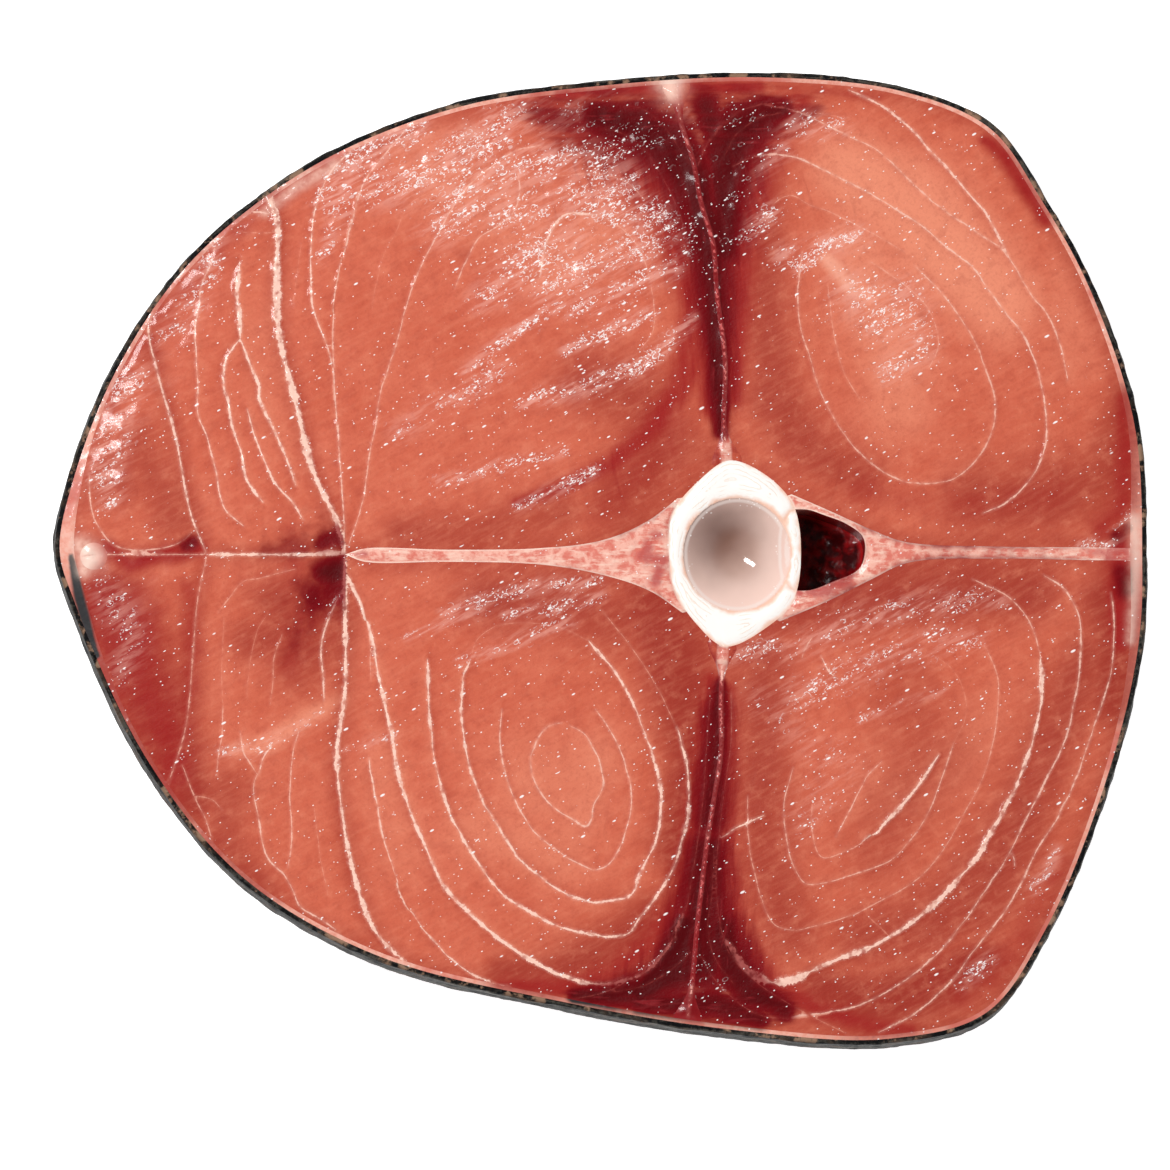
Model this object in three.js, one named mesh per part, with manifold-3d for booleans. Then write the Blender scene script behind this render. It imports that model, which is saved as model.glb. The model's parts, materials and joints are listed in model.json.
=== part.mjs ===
// A thick raw steak, sawn right across a marlin's body behind the gut: skin, the fat under it, the muscle
// blocks of both flanks, the dark muscle, the membranes between them, and the backbone with the jelly in its
// hollow end. Lengths are in millimetres. The plan is drawn round the backbone's axis, as seen from above: -X
// is the fish's back, +X its belly, and +Y and -Y are its two flanks, called left and right. Z is up from the
// lower cut face.
import * as THREE from "three";
import { mergeVertices } from "three/addons/utils/BufferGeometryUtils.js";
import Module from "manifold-3d";

const wasm = await Module();
wasm.setup();

// ---- Driving dimensions ----
const THICKNESS = 32; // between the two cut faces
const SEAM_GAP = 0.3; // between neighbouring pieces
const SKIN = 1.2; // thickness of the skin
const FAT = 1; // least thickness of the fat under the skin
const BACK_FAT = [2.6, 0.24]; // what the back adds to it, and over which angle, in radians
const BELLY_FAT = [2, 0.3]; // the same for the belly
const EDGE_DROP = 1.4; // height over which a piece's cut edge rounds off
const EDGE_REACH = 1.8; // how far in from the edge that rounding ends
const SHOULDER = [0.5, 0.45]; // halfway along it: how far in, and the share of the drop that is left
const LEAST_ROOM = 0.3; // share of a narrow piece's width that an edge may take up
const RIND_DROP = 0.4; // how far skin and fat end below the cut face
const LIFT = 0.8; // how far skin and fat stay clear of the surface the steak lies on
const BULGE = [0.006, 0.006]; // shares by which the soft body spreads along X and Y at its widest level
const BULGE_LEVEL = 0.55; // depth of that level below the upper face, as a share of the thickness
const BULGE_LEFT = 0.65; // part of the bulge that is left at the lower face
const LEAN = [-0.3, -2]; // how far the lower face is shifted along X and Y by cuts that are not quite square
const RIM_STEPS = 84; // vertices round the skin
const SEAM_STEP = 7.5; // distance between vertices along a seam
const BONE_STEPS = 44; // vertices round the backbone
const CANAL_STEPS = 24; // vertices round the canal
const KNOB_STEPS = 16; // vertices round the ligament
const TURNED_STEPS = 24; // vertices round the backbone's hollow and its jelly
const JUNCTION = 6; // least length of a seam's last stretch, where it meets the bone or the rim
const WHORL_RINGS = 10; // muscle layers round the centre of each whorl
const WHORL_STEPS = 20; // vertices round each of them
const LAYER_RELIEF = 0.4; // how far the middle of a muscle layer stands above its edges
const DOME = 0.5; // how far a muscle's cut face swells in its middle
const JELLY_RADIUS = 13.6; // of the hollow in the backbone's end
const JELLY_OVAL = 1.05; // its length across the fish over its length along the back-belly line
const CUP_DEPTH = 18; // of that hollow
const CUP_FLOOR = 2; // radius at its bottom
const JELLY_SAG = 6; // depth of the jelly's hollow surface
const JELLY_DROP = 1.3; // how far the jelly's rim lies below the bone's end
const BONE_RISE = 0.7; // how far the bone stands proud of the cut face
const MEMBRANE_RISE = 0.3; // how far the membranes stand proud of it
const DARK_DROP = 0.3; // how far the soft dark muscle lies below it
const KNOB_RADIUS = 3.4; // the pale ligament at the root of the back fin
const CLOT_HEIGHT = 10; // of the clotted blood in the vessel canal under the backbone
const CLOT_RIPPLE = 0.8; // unevenness of its surface

// Every piece has vertices at these heights, so that neighbours fit.
const WALL_LEVELS = [LIFT, (1 - BULGE_LEVEL) * THICKNESS];

// ---- The plan ----
// The skin's outer edge on the upper face, anticlockwise from the middle of the belly.
const SKIN_EDGE = [
  [102.5, 0], [100.5, 33], [89.5, 66.5], [77, 89.5], [64, 107.5], [41.5, 117], [6.5, 120.5],
  [-33, 118.5], [-70, 113], [-106, 98.5], [-136.5, 75], [-156, 47], [-167.5, 17.5], [-170.5, 1],
  [-167, -11.5], [-149, -51], [-124.7, -81.2], [-91.2, -101], [-45, -112.7], [1, -120.2],
  [38, -122.2], [63, -115.5], [78.7, -93.3], [94, -55], [101.5, -23],
];
const BACKBONE = [
  [16, 1], [14, 12.5], [7, 20], [-2, 23.5], [-10, 18], [-16, 10.5], [-17, 1], [-15.5, -9],
  [-10, -17.5], [-3, -23], [7, -18.5], [14, -11.5],
];
const FORK = [-98, 0]; // where the membranes of the back part
const FIN_FORK = [-132.5, 0]; // where the fin muscles begin
const KNOB = [-160.8, -0.4];

// Seams, each from the inside outwards. Those that meet the skin end on the nearest vertex of the inner rim.
const SEAMS = {
  crestLeft: [
    FORK, [-99.5, 7], [-106, 21], [-110, 37], [-114.5, 55.5], [-115, 71.5], [-115, 83.5],
    [-118.5, 93],
  ],
  crestRight: [
    FORK, [-98, -13], [-98, -34], [-100, -49.5], [-99, -62.5], [-96, -79], [-90.5, -94],
    [-81.5, -103.5],
  ],
  finLeft: [FIN_FORK, [-136.5, 10], [-140.5, 30], [-145, 46], [-147, 57.5], [-142.5, 67]],
  finRight: [FIN_FORK, [-135, -12.5], [-136, -25], [-138, -44], [-143, -59.5]],
  crestMiddle: [FORK, [-115, 0], FIN_FORK],
  finMiddle: [FIN_FORK, [-147, 0], [-160, 0]],
  darkBackLeft: [
    [-6, 38], [-8, 56], [-10, 70], [-12.5, 82.5], [-17, 93], [-23, 101], [-32, 106], [-44, 109.5],
    [-58, 116],
  ],
  darkBellyLeft: [
    [-0.4, 38], [-1, 56], [-1.5, 73.5], [-0.5, 86], [2, 96], [7, 103.5], [16, 112], [25, 119.5],
  ],
  darkBackRight: [
    [-6.5, -34], [-7.5, -46.5], [-8.5, -61.5], [-11, -79], [-14, -92.5], [-20.5, -101],
    [-32, -109], [-48, -112],
  ],
  darkBellyRight: [
    [-1.5, -34], [-1.5, -46.5], [-3.5, -61.5], [-5, -76.5], [-5, -86.5], [-2, -99.5], [5, -107],
    [16, -114], [30, -121],
  ],
  backUpper: [FORK, [-93, 1.5], [-72, 1.2], [-49, 1.6], [-34, 3.5], [-23, 8], [-13, 15.5]],
  backLower: [FORK, [-93, -1.8], [-72, -1.8], [-49, -2.5], [-34, -5], [-22, -9], [-13, -15]],
  bellyUpper: [[11.5, 16], [23, 11], [33, 6.5], [42, 3.2], [66, 2], [88, 1.8], [100, 1.5]],
  bellyLower: [[10, -17], [23, -11.5], [33, -6.5], [43, -2], [66, -1], [88, -1.4], [100, -1.5]],
};
// The thin membranes that run from the backbone to the flanks: centre lines, with the half width along them.
const FLANK_LEFT = [
  [-2.5, 23], [-3.3, 33], [-3, 48.5], [-5, 65], [-6, 77.5], [-9, 88], [-11, 98.5], [-14, 108],
  [-15.3, 118],
];
const FLANK_RIGHT = [
  [-3.5, -22], [-4, -36.5], [-4, -49], [-6, -62.5], [-7.5, -72], [-9, -84.5], [-10, -93.5],
  [-11, -105], [-12.4, -117],
];
const FLANK_HALF_WIDTH = 0.6;
const FLANK_FOOT = [3.2, 5]; // extra half width where it meets the bone or the skin, and how far that reaches
// The canal of the blood vessels, whose wall towards the back is the bone itself.
const CANAL = [
  [13, -8], [17.5, -9], [24, -6.8], [30.5, -3.6], [32, 0.5], [31.5, 4.4], [27.5, 7.6], [22, 9.8],
  [17, 11.3], [13, 10.5],
];
// The layers of each muscle are ovals round a centre: half lengths of the innermost, what each further one
// adds, and how far they are turned.
const WHORLS = {
  backLeft: { centre: [-37, 62], core: [8, 11], layer: [9, 9.5], turn: 0.5 },
  backRight: { centre: [-43, -52], core: [8, 12], layer: [8.5, 9.5], turn: 0.25 },
  bellyLeft: { centre: [40, 47], core: [8, 12], layer: [8.5, 9.5], turn: 0.5 },
  bellyRight: { centre: [35, -55], core: [7, 12], layer: [8.5, 10], turn: -0.6 },
  crestLeft: { centre: [-127, 40], core: [3, 16], layer: [5, 9], turn: 0.15 },
  crestRight: { centre: [-118, -42], core: [3, 16], layer: [5, 9], turn: -0.1 },
};

// ---- Curves and loops in the plan ----
const vector = ([x, y]) => new THREE.Vector3(x, y, 0);
const point = (v) => [v.x, v.y];
const distance = (a, b) => Math.hypot(a[0] - b[0], a[1] - b[1]);
const mix = (a, b, t) => a + (b - a) * t;
const reversed = (line) => [...line].reverse();
const start = (line) => line[0];
const end = (line) => line[line.length - 1];

function curveThrough(points, closed) {
  return new THREE.CatmullRomCurve3(points.map(vector), closed, "centripetal");
}

function signedArea(loop) {
  return THREE.ShapeUtils.area(loop.map(([x, y]) => new THREE.Vector2(x, y)));
}

const anticlockwise = (loop) => (signedArea(loop) > 0 ? loop : [...loop].reverse());

function closedLoop(points, steps) {
  return anticlockwise(curveThrough(points, true).getSpacedPoints(steps).slice(0, -1).map(point));
}

function openLine(points, step = SEAM_STEP) {
  const curve = curveThrough(points, false);
  const steps = Math.max(2, Math.round(curve.getLength() / step));
  return curve.getSpacedPoints(steps).map(point);
}

// The outward normal at each vertex of an anticlockwise loop, lengthened at corners so that the sides keep
// their offset.
function cornerNormals(loop) {
  const count = loop.length;
  return loop.map((p, i) => {
    const before = loop[(i + count - 1) % count];
    const after = loop[(i + 1) % count];
    const inward = [p[0] - before[0], p[1] - before[1]];
    const outward = [after[0] - p[0], after[1] - p[1]];
    const a = [inward[1] / Math.hypot(...inward), -inward[0] / Math.hypot(...inward)];
    const b = [outward[1] / Math.hypot(...outward), -outward[0] / Math.hypot(...outward)];
    const sum = [a[0] + b[0], a[1] + b[1]];
    const length = Math.hypot(...sum);
    const stretch = Math.min(2 / (length * length), 2.2 / length);
    return [sum[0] * stretch, sum[1] * stretch];
  });
}

// Moves an anticlockwise loop inwards by a distance, which may be a function of the vertex number.
function inset(loop, by) {
  const normals = cornerNormals(loop);
  return loop.map(([x, y], i) => {
    const d = typeof by === "function" ? by(i) : by;
    return [x - normals[i][0] * d, y - normals[i][1] * d];
  });
}

// The distance from p along a ray to the side from a to b, or Infinity where the ray misses it.
function reachOf(p, ray, a, b) {
  const side = [b[0] - a[0], b[1] - a[1]];
  const cross = ray[0] * side[1] - ray[1] * side[0];
  const to = [a[0] - p[0], a[1] - p[1]];
  const along = (to[0] * side[1] - to[1] * side[0]) / cross;
  const share = (to[0] * ray[1] - to[1] * ray[0]) / cross;
  return along > 0 && share >= 0 && share <= 1 ? along : Infinity;
}

// How far a loop's vertices can move inwards: to the other side, or to the next vertex where that is nearer.
function roomInside(loop) {
  const normals = cornerNormals(loop);
  return loop.map((p, i) => {
    const size = Math.hypot(...normals[i]);
    const ray = [-normals[i][0] / size, -normals[i][1] / size];
    const reaches = loop.map((a, j) => {
      const b = loop[(j + 1) % loop.length];
      return a === p || b === p ? distance(a, b) : reachOf(p, ray, a, b);
    });
    return Math.min(...reaches) / size;
  });
}

function ovalLoop(centre, [halfX, halfY], turn, steps) {
  return Array.from({ length: steps }, (_, i) => {
    const angle = (i / steps) * 2 * Math.PI;
    const [x, y] = [halfX * Math.cos(angle), halfY * Math.sin(angle)];
    return [
      centre[0] + x * Math.cos(turn) - y * Math.sin(turn),
      centre[1] + x * Math.sin(turn) + y * Math.cos(turn),
    ];
  });
}

// Joins lines end to end into one anticlockwise loop, dropping points that repeat.
function loopOf(...lines) {
  const joined = lines.flat();
  return anticlockwise(joined.filter((p, i) => distance(p, joined[(i + 1) % joined.length]) > 0.3));
}

function nearestIndex(loop, target) {
  let best = 0;
  loop.forEach((p, i) => {
    if (distance(p, target) < distance(loop[best], target)) best = i;
  });
  return best;
}

const nearest = (loop, target) => loop[nearestIndex(loop, target)];

// The vertices of an anticlockwise loop from the one nearest a to the one nearest b.
function between(loop, a, b) {
  const first = nearestIndex(loop, a);
  const last = nearestIndex(loop, b);
  const count = ((last - first + loop.length) % loop.length) + 1;
  return Array.from({ length: count }, (_, i) => loop[(first + i) % loop.length]);
}

// ---- From plan to solid ----
// The soft body's sides bulge below the upper face, and the lower face is shifted, so each level of the plan
// spreads.
function spread(depth) {
  if (depth < BULGE_LEVEL) return Math.sin((depth / BULGE_LEVEL) * (Math.PI / 2));
  return 1 - (1 - BULGE_LEFT) * ((depth - BULGE_LEVEL) / (1 - BULGE_LEVEL)) ** 2;
}

function settle([x, y], z) {
  const depth = THREE.MathUtils.clamp(1 - z / THICKNESS, 0, 1);
  const grown = spread(depth);
  return [x * (1 + BULGE[0] * grown) + LEAN[0] * depth, y * (1 + BULGE[1] * grown) + LEAN[1] * depth, z];
}

// A closed mesh from vertices and triangles, as a three.js geometry.
function geometryOf(vertices, triangles) {
  const geometry = new THREE.BufferGeometry();
  geometry.setAttribute("position", new THREE.Float32BufferAttribute(vertices.flat(), 3));
  geometry.setIndex(triangles.flat());
  geometry.computeVertexNormals();
  return geometry;
}

// Triangles over a flat loop, all facing the way that up says.
function capOf(loop, first, up) {
  const contour = loop.map(([x, y]) => new THREE.Vector2(x, y));
  const triangles = THREE.ShapeUtils.triangulateShape(contour, []);
  const areas = triangles.map((corners) => THREE.ShapeUtils.area(corners.map((c) => contour[c])));
  const area = areas.reduce((sum, a) => sum + a, 0);
  const facing = area > 0 === up ? triangles : triangles.map(reversed);
  return facing.map((corners) => corners.map((c) => first + c));
}

// A solid from levels of { loop, height }, lowest first. All loops have the same number of vertices, and
// height is a number or a function of the vertex number.
function stackOf(levels) {
  const count = levels[0].loop.length;
  const vertices = [];
  const triangles = [];
  levels.forEach(({ loop, height }, k) => {
    loop.forEach((p, i) => vertices.push(settle(p, typeof height === "function" ? height(i) : height)));
    if (k === 0) return;
    for (let i = 0; i < count; i++) {
      const next = (i + 1) % count;
      const low = (k - 1) * count;
      const high = k * count;
      triangles.push([low + i, low + next, high + next], [low + i, high + next, high + i]);
    }
  });
  triangles.push(...capOf(levels[0].loop, 0, false));
  triangles.push(...capOf(levels[levels.length - 1].loop, (levels.length - 1) * count, true));
  return geometryOf(vertices, triangles);
}

// A band that closes on itself: its section is a list of { loop, height }, anticlockwise seen along the loop.
function bandOf(section) {
  const count = section[0].loop.length;
  const vertices = section.flatMap(({ loop, height }) => loop.map((p) => settle(p, height)));
  const triangles = [];
  section.forEach((_, k) => {
    const here = k * count;
    const there = ((k + 1) % section.length) * count;
    for (let i = 0; i < count; i++) {
      const next = (i + 1) % count;
      triangles.push([here + i, here + next, there + next], [here + i, there + next, there + i]);
    }
  });
  return geometryOf(vertices, triangles);
}

// A piece that runs through the steak, with a rounded edge on its upper face. rise lifts that face.
function pieceLevels(outline, rise = 0) {
  const loop = inset(outline, SEAM_GAP / 2);
  const room = roomInside(loop);
  const least = (i) => Math.min(room.at(i - 1), room[i], room[(i + 1) % room.length]);
  const by = (d) => inset(loop, (i) => Math.min(d, LEAST_ROOM * least(i)));
  const top = THICKNESS + rise;
  return [
    { loop: by(SHOULDER[0]), height: 0 },
    ...WALL_LEVELS.map((height) => ({ loop, height })),
    { loop, height: top - EDGE_DROP },
    { loop: by(SHOULDER[0]), height: top - SHOULDER[1] * EDGE_DROP },
    { loop: by(EDGE_REACH), height: top },
  ];
}

function piece(outline, rise) {
  return stackOf(pieceLevels(outline, rise));
}

// ---- Boolean cuts ----
function solidOf(geometry) {
  const bare = geometry.clone();
  bare.deleteAttribute("normal");
  bare.deleteAttribute("uv");
  const merged = mergeVertices(bare, 1e-4);
  return new wasm.Manifold(
    new wasm.Mesh({
      numProp: 3,
      vertProperties: merged.attributes.position.array,
      triVerts: new Uint32Array(merged.index.array),
    }),
  );
}

function meshOf(solid) {
  const { vertProperties, triVerts } = solid.getMesh();
  const geometry = new THREE.BufferGeometry();
  geometry.setAttribute("position", new THREE.BufferAttribute(vertProperties, 3));
  geometry.setIndex(new THREE.BufferAttribute(triVerts, 1));
  geometry.computeVertexNormals();
  return geometry;
}

function cut(geometry, tool) {
  return meshOf(solidOf(geometry).subtract(solidOf(tool)));
}

// An oval ring of a whorl, counted in layers from its centre.
function whorlLoop({ centre, core, layer, turn }, layers) {
  const halves = [0, 1].map((axis) => core[axis] + layer[axis] * (layers - 1));
  return ovalLoop(centre, halves, turn, WHORL_STEPS);
}

// A muscle made of layers: its upper face swells, and each layer of the whorl stands up.
function layeredPiece(outline, whorl) {
  const levels = [{ loop: whorlLoop(whorl, WHORL_RINGS), height: -1 }];
  for (let layers = WHORL_RINGS; layers >= 1; layers -= 0.5) {
    const swell = DOME * (1 - (layers / WHORL_RINGS) ** 2);
    const relief = Number.isInteger(layers) ? 0 : LAYER_RELIEF;
    levels.push({ loop: whorlLoop(whorl, layers), height: THICKNESS + swell + relief });
  }
  const block = solidOf(piece(outline, DOME + LAYER_RELIEF));
  return meshOf(block.intersect(solidOf(stackOf(levels))));
}

// A prism over a loop, longer than the steak is thick, for cutting.
function cutterOf(loop) {
  const levels = [-1, ...WALL_LEVELS, THICKNESS - EDGE_DROP, THICKNESS + BONE_RISE + 1];
  return stackOf(levels.map((height) => ({ loop, height })));
}

// A round solid about the backbone's axis, stretched across the fish.
function turned(profile) {
  const geometry = new THREE.LatheGeometry(profile.map(([r, z]) => new THREE.Vector2(r, z)), TURNED_STEPS);
  geometry.rotateX(Math.PI / 2);
  geometry.scale(1, JELLY_OVAL, 1);
  return geometry;
}

// ---- Rims ----
const skinOuter = closedLoop(SKIN_EDGE, RIM_STEPS);
const skinInner = inset(skinOuter, SKIN);

// The fat is thicker along the back and the belly than on the flanks.
function fatAt([x, y]) {
  const fromBelly = Math.abs(Math.atan2(y, x));
  const fromBack = Math.PI - fromBelly;
  const back = BACK_FAT[0] * Math.exp(-((fromBack / BACK_FAT[1]) ** 2));
  const belly = BELLY_FAT[0] * Math.exp(-((fromBelly / BELLY_FAT[1]) ** 2));
  return FAT + back + belly;
}
const rim = inset(skinInner, (i) => fatAt(skinInner[i]));
const backbone = closedLoop(BACKBONE, BONE_STEPS);

// Ends a line on the vertex of a loop that is nearest to where the line ended. What comes too close is dropped.
function endOn(loop, line) {
  const close = line.findIndex((p) => distance(p, nearest(loop, p)) < JUNCTION);
  return [...line.slice(0, close < 0 ? line.length : close), nearest(loop, end(line))];
}

const startOn = (loop, line) => reversed(endOn(loop, reversed(line)));

const seams = {
  crestMiddle: openLine(SEAMS.crestMiddle),
  backUpper: endOn(backbone, openLine(SEAMS.backUpper)),
  backLower: endOn(backbone, openLine(SEAMS.backLower)),
  bellyUpper: startOn(backbone, endOn(rim, openLine(SEAMS.bellyUpper))),
  bellyLower: startOn(backbone, endOn(rim, openLine(SEAMS.bellyLower))),
};
const OUTWARD_SEAMS = [
  "crestLeft", "crestRight", "finLeft", "finRight", "finMiddle",
  "darkBackLeft", "darkBellyLeft", "darkBackRight", "darkBellyRight",
];
for (const name of OUTWARD_SEAMS) seams[name] = endOn(rim, openLine(SEAMS[name]));

// The two edges of a flank membrane, which is wider at the bone and at the skin. side is 1 for its +X edge.
function membraneEdge(points, side) {
  const line = openLine(points);
  const edge = line.map((p, i) => {
    const before = line[Math.max(0, i - 1)];
    const after = line[Math.min(line.length - 1, i + 1)];
    const length = distance(before, after);
    const normal = [(after[1] - before[1]) / length, -(after[0] - before[0]) / length];
    const turn = Math.sign(normal[0]) * side;
    const nearEnd = Math.min(distance(p, line[0]), distance(p, end(line)));
    const half = FLANK_HALF_WIDTH + FLANK_FOOT[0] * Math.exp(-((nearEnd / FLANK_FOOT[1]) ** 2));
    return [p[0] + normal[0] * half * turn, p[1] + normal[1] * half * turn];
  });
  return startOn(backbone, endOn(rim, edge));
}
const flank = {
  leftBack: membraneEdge(FLANK_LEFT, -1),
  leftBelly: membraneEdge(FLANK_LEFT, 1),
  rightBack: membraneEdge(FLANK_RIGHT, -1),
  rightBelly: membraneEdge(FLANK_RIGHT, 1),
};

// A flank membrane's edge from the bone up to where a dark muscle begins, and from there to the skin.
function splitAt(edge, target) {
  const at = nearestIndex(edge, target);
  return { inner: edge.slice(0, at + 1), outer: edge.slice(at) };
}
const split = {
  leftBack: splitAt(flank.leftBack, start(seams.darkBackLeft)),
  leftBelly: splitAt(flank.leftBelly, start(seams.darkBellyLeft)),
  rightBack: splitAt(flank.rightBack, start(seams.darkBackRight)),
  rightBelly: splitAt(flank.rightBelly, start(seams.darkBellyRight)),
};

// ---- Outlines of the pieces ----
const outlines = {
  backLeft: loopOf(
    seams.backUpper,
    reversed(between(backbone, start(flank.leftBack), end(seams.backUpper))),
    split.leftBack.inner,
    seams.darkBackLeft,
    between(rim, end(seams.darkBackLeft), end(seams.crestLeft)),
    reversed(seams.crestLeft),
  ),
  backRight: loopOf(
    reversed(seams.backLower),
    seams.crestRight,
    between(rim, end(seams.crestRight), end(seams.darkBackRight)),
    reversed(seams.darkBackRight),
    reversed(split.rightBack.inner),
    reversed(between(backbone, end(seams.backLower), start(flank.rightBack))),
  ),
  bellyLeft: loopOf(
    seams.bellyUpper,
    between(rim, end(seams.bellyUpper), end(seams.darkBellyLeft)),
    reversed(seams.darkBellyLeft),
    reversed(split.leftBelly.inner),
    reversed(between(backbone, start(seams.bellyUpper), start(flank.leftBelly))),
  ),
  bellyRight: loopOf(
    reversed(seams.bellyLower),
    reversed(between(backbone, start(flank.rightBelly), start(seams.bellyLower))),
    split.rightBelly.inner,
    seams.darkBellyRight,
    between(rim, end(seams.darkBellyRight), end(seams.bellyLower)),
  ),
  crestLeft: loopOf(
    seams.crestLeft,
    between(rim, end(seams.crestLeft), end(seams.finLeft)),
    reversed(seams.finLeft),
    reversed(seams.crestMiddle),
  ),
  crestRight: loopOf(
    seams.crestMiddle,
    seams.finRight,
    between(rim, end(seams.finRight), end(seams.crestRight)),
    reversed(seams.crestRight),
  ),
  finLeft: loopOf(
    seams.finLeft,
    between(rim, end(seams.finLeft), end(seams.finMiddle)),
    reversed(seams.finMiddle),
  ),
  finRight: loopOf(
    seams.finMiddle,
    between(rim, end(seams.finMiddle), end(seams.finRight)),
    reversed(seams.finRight),
  ),
  darkBackLeft: loopOf(
    split.leftBack.outer,
    between(rim, end(flank.leftBack), end(seams.darkBackLeft)),
    reversed(seams.darkBackLeft),
  ),
  darkBellyLeft: loopOf(
    seams.darkBellyLeft,
    between(rim, end(seams.darkBellyLeft), end(flank.leftBelly)),
    reversed(split.leftBelly.outer),
  ),
  darkBackRight: loopOf(
    seams.darkBackRight,
    between(rim, end(seams.darkBackRight), end(flank.rightBack)),
    reversed(split.rightBack.outer),
  ),
  darkBellyRight: loopOf(
    split.rightBelly.outer,
    between(rim, end(flank.rightBelly), end(seams.darkBellyRight)),
    reversed(seams.darkBellyRight),
  ),
  flankMembraneLeft: loopOf(
    flank.leftBelly,
    between(rim, end(flank.leftBelly), end(flank.leftBack)),
    reversed(flank.leftBack),
    reversed(between(backbone, start(flank.leftBelly), start(flank.leftBack))),
  ),
  flankMembraneRight: loopOf(
    flank.rightBack,
    between(rim, end(flank.rightBack), end(flank.rightBelly)),
    reversed(flank.rightBelly),
    reversed(between(backbone, start(flank.rightBack), start(flank.rightBelly))),
  ),
  backMembrane: loopOf(
    seams.backLower,
    reversed(between(backbone, end(seams.backUpper), end(seams.backLower))),
    reversed(seams.backUpper),
  ),
  bellyMembrane: loopOf(
    seams.bellyLower,
    between(rim, end(seams.bellyLower), end(seams.bellyUpper)),
    reversed(seams.bellyUpper),
    reversed(between(backbone, start(seams.bellyLower), start(seams.bellyUpper))),
  ),
};

// ---- Round pieces ----
const knobLoop = (radius) => ovalLoop(KNOB, [radius, radius], 0, KNOB_STEPS);
const knobCutter = cutterOf(knobLoop(KNOB_RADIUS + SEAM_GAP));

function knob() {
  const side = knobLoop(KNOB_RADIUS);
  return stackOf([
    ...WALL_LEVELS.map((height) => ({ loop: side, height })),
    { loop: side, height: THICKNESS - EDGE_DROP },
    { loop: knobLoop(KNOB_RADIUS / 2), height: THICKNESS + MEMBRANE_RISE },
  ]);
}

// The bone's end is a deep cup, narrowing to the middle of the backbone.
const boneTop = THICKNESS + BONE_RISE;
function cupProfile(gap, top) {
  const wall = [0, 0.25, 0.5, 0.75, 1].map((share) => [
    mix(CUP_FLOOR, JELLY_RADIUS, Math.sqrt(share)) - gap,
    mix(boneTop - CUP_DEPTH, boneTop - JELLY_DROP - SEAM_GAP, share),
  ]);
  return [[0, wall[0][1]], ...wall, ...top];
}

function bone() {
  const above = boneTop + 1;
  const mouth = cupProfile(0, [[JELLY_RADIUS, above], [0, above]]);
  return cut(piece(backbone, BONE_RISE), turned(mouth));
}

function jelly() {
  const surface = [1, 0.8, 0.6, 0.4, 0.2, 0].map((share) => [
    share * (JELLY_RADIUS - SEAM_GAP),
    boneTop - JELLY_DROP - JELLY_SAG * (1 - share ** 2),
  ]);
  return turned(cupProfile(SEAM_GAP, surface)).translate(0, 0, SEAM_GAP);
}

function skin() {
  const inner = inset(skinInner, -SEAM_GAP / 2);
  const top = THICKNESS - RIND_DROP;
  return bandOf([
    ...WALL_LEVELS.map((height) => ({ loop: skinOuter, height })),
    { loop: skinOuter, height: THICKNESS - EDGE_DROP },
    { loop: inset(skinOuter, SHOULDER[0]), height: top },
    { loop: inner, height: top },
    ...reversed(WALL_LEVELS).map((height) => ({ loop: inner, height })),
  ]);
}

function fat() {
  const outer = inset(skinInner, SEAM_GAP / 2);
  const inner = inset(rim, -SEAM_GAP / 2);
  const top = THICKNESS - RIND_DROP;
  const band = bandOf([
    ...WALL_LEVELS.map((height) => ({ loop: outer, height })),
    { loop: outer, height: top },
    { loop: inner, height: top },
    ...reversed(WALL_LEVELS).map((height) => ({ loop: inner, height })),
  ]);
  return cut(band, knobCutter);
}

const canal = closedLoop(CANAL, CANAL_STEPS);

function clot() {
  const side = inset(canal, SEAM_GAP);
  const blood = stackOf([
    { loop: side, height: LIFT },
    { loop: side, height: CLOT_HEIGHT - EDGE_DROP },
    { loop: inset(side, EDGE_REACH), height: (i) => CLOT_HEIGHT + CLOT_RIPPLE * Math.sin(3 * i) },
  ]);
  return cut(blood, cutterOf(inset(backbone, -SEAM_GAP)));
}

// ---- Materials ----
const material = (color, roughness) => new THREE.MeshStandardMaterial({ color, roughness, metalness: 0 });
const materials = {
  skin: material(0x3c4043, 0.45),
  fat: material(0xe8b3a2, 0.4),
  flesh: material(0xcb6650, 0.35),
  crestFlesh: material(0xc65646, 0.35),
  darkMuscle: material(0x5e1620, 0.35),
  membrane: material(0xeba898, 0.4),
  bone: material(0xfbf4ee, 0.35),
  jelly: material(0xa48a82, 0.12),
  clot: material(0x2c0508, 0.25),
};

// ---- The steak ----
const steak = new THREE.Group();

function add(name, geometry, kind) {
  const mesh = new THREE.Mesh(geometry, materials[kind]);
  mesh.name = name;
  steak.add(mesh);
}

for (const [name, whorl] of Object.entries(WHORLS)) {
  const kind = name.startsWith("crest") ? "crestFlesh" : "flesh";
  add(`${name}Muscle`, layeredPiece(outlines[name], whorl), kind);
}
for (const name of ["finLeft", "finRight"]) {
  add(`${name}Muscle`, cut(piece(outlines[name]), knobCutter), "crestFlesh");
}
for (const name of ["darkBackLeft", "darkBellyLeft", "darkBackRight", "darkBellyRight"]) {
  add(`${name}Muscle`, piece(outlines[name], -DARK_DROP), "darkMuscle");
}
for (const name of ["flankMembraneLeft", "flankMembraneRight", "backMembrane"]) {
  add(name, piece(outlines[name], MEMBRANE_RISE), "membrane");
}
add("bellyMembrane", cut(piece(outlines.bellyMembrane, MEMBRANE_RISE), cutterOf(canal)), "membrane");
add("canalClot", clot(), "clot");
add("backboneBone", bone(), "bone");
add("backboneJelly", jelly(), "jelly");
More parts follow.
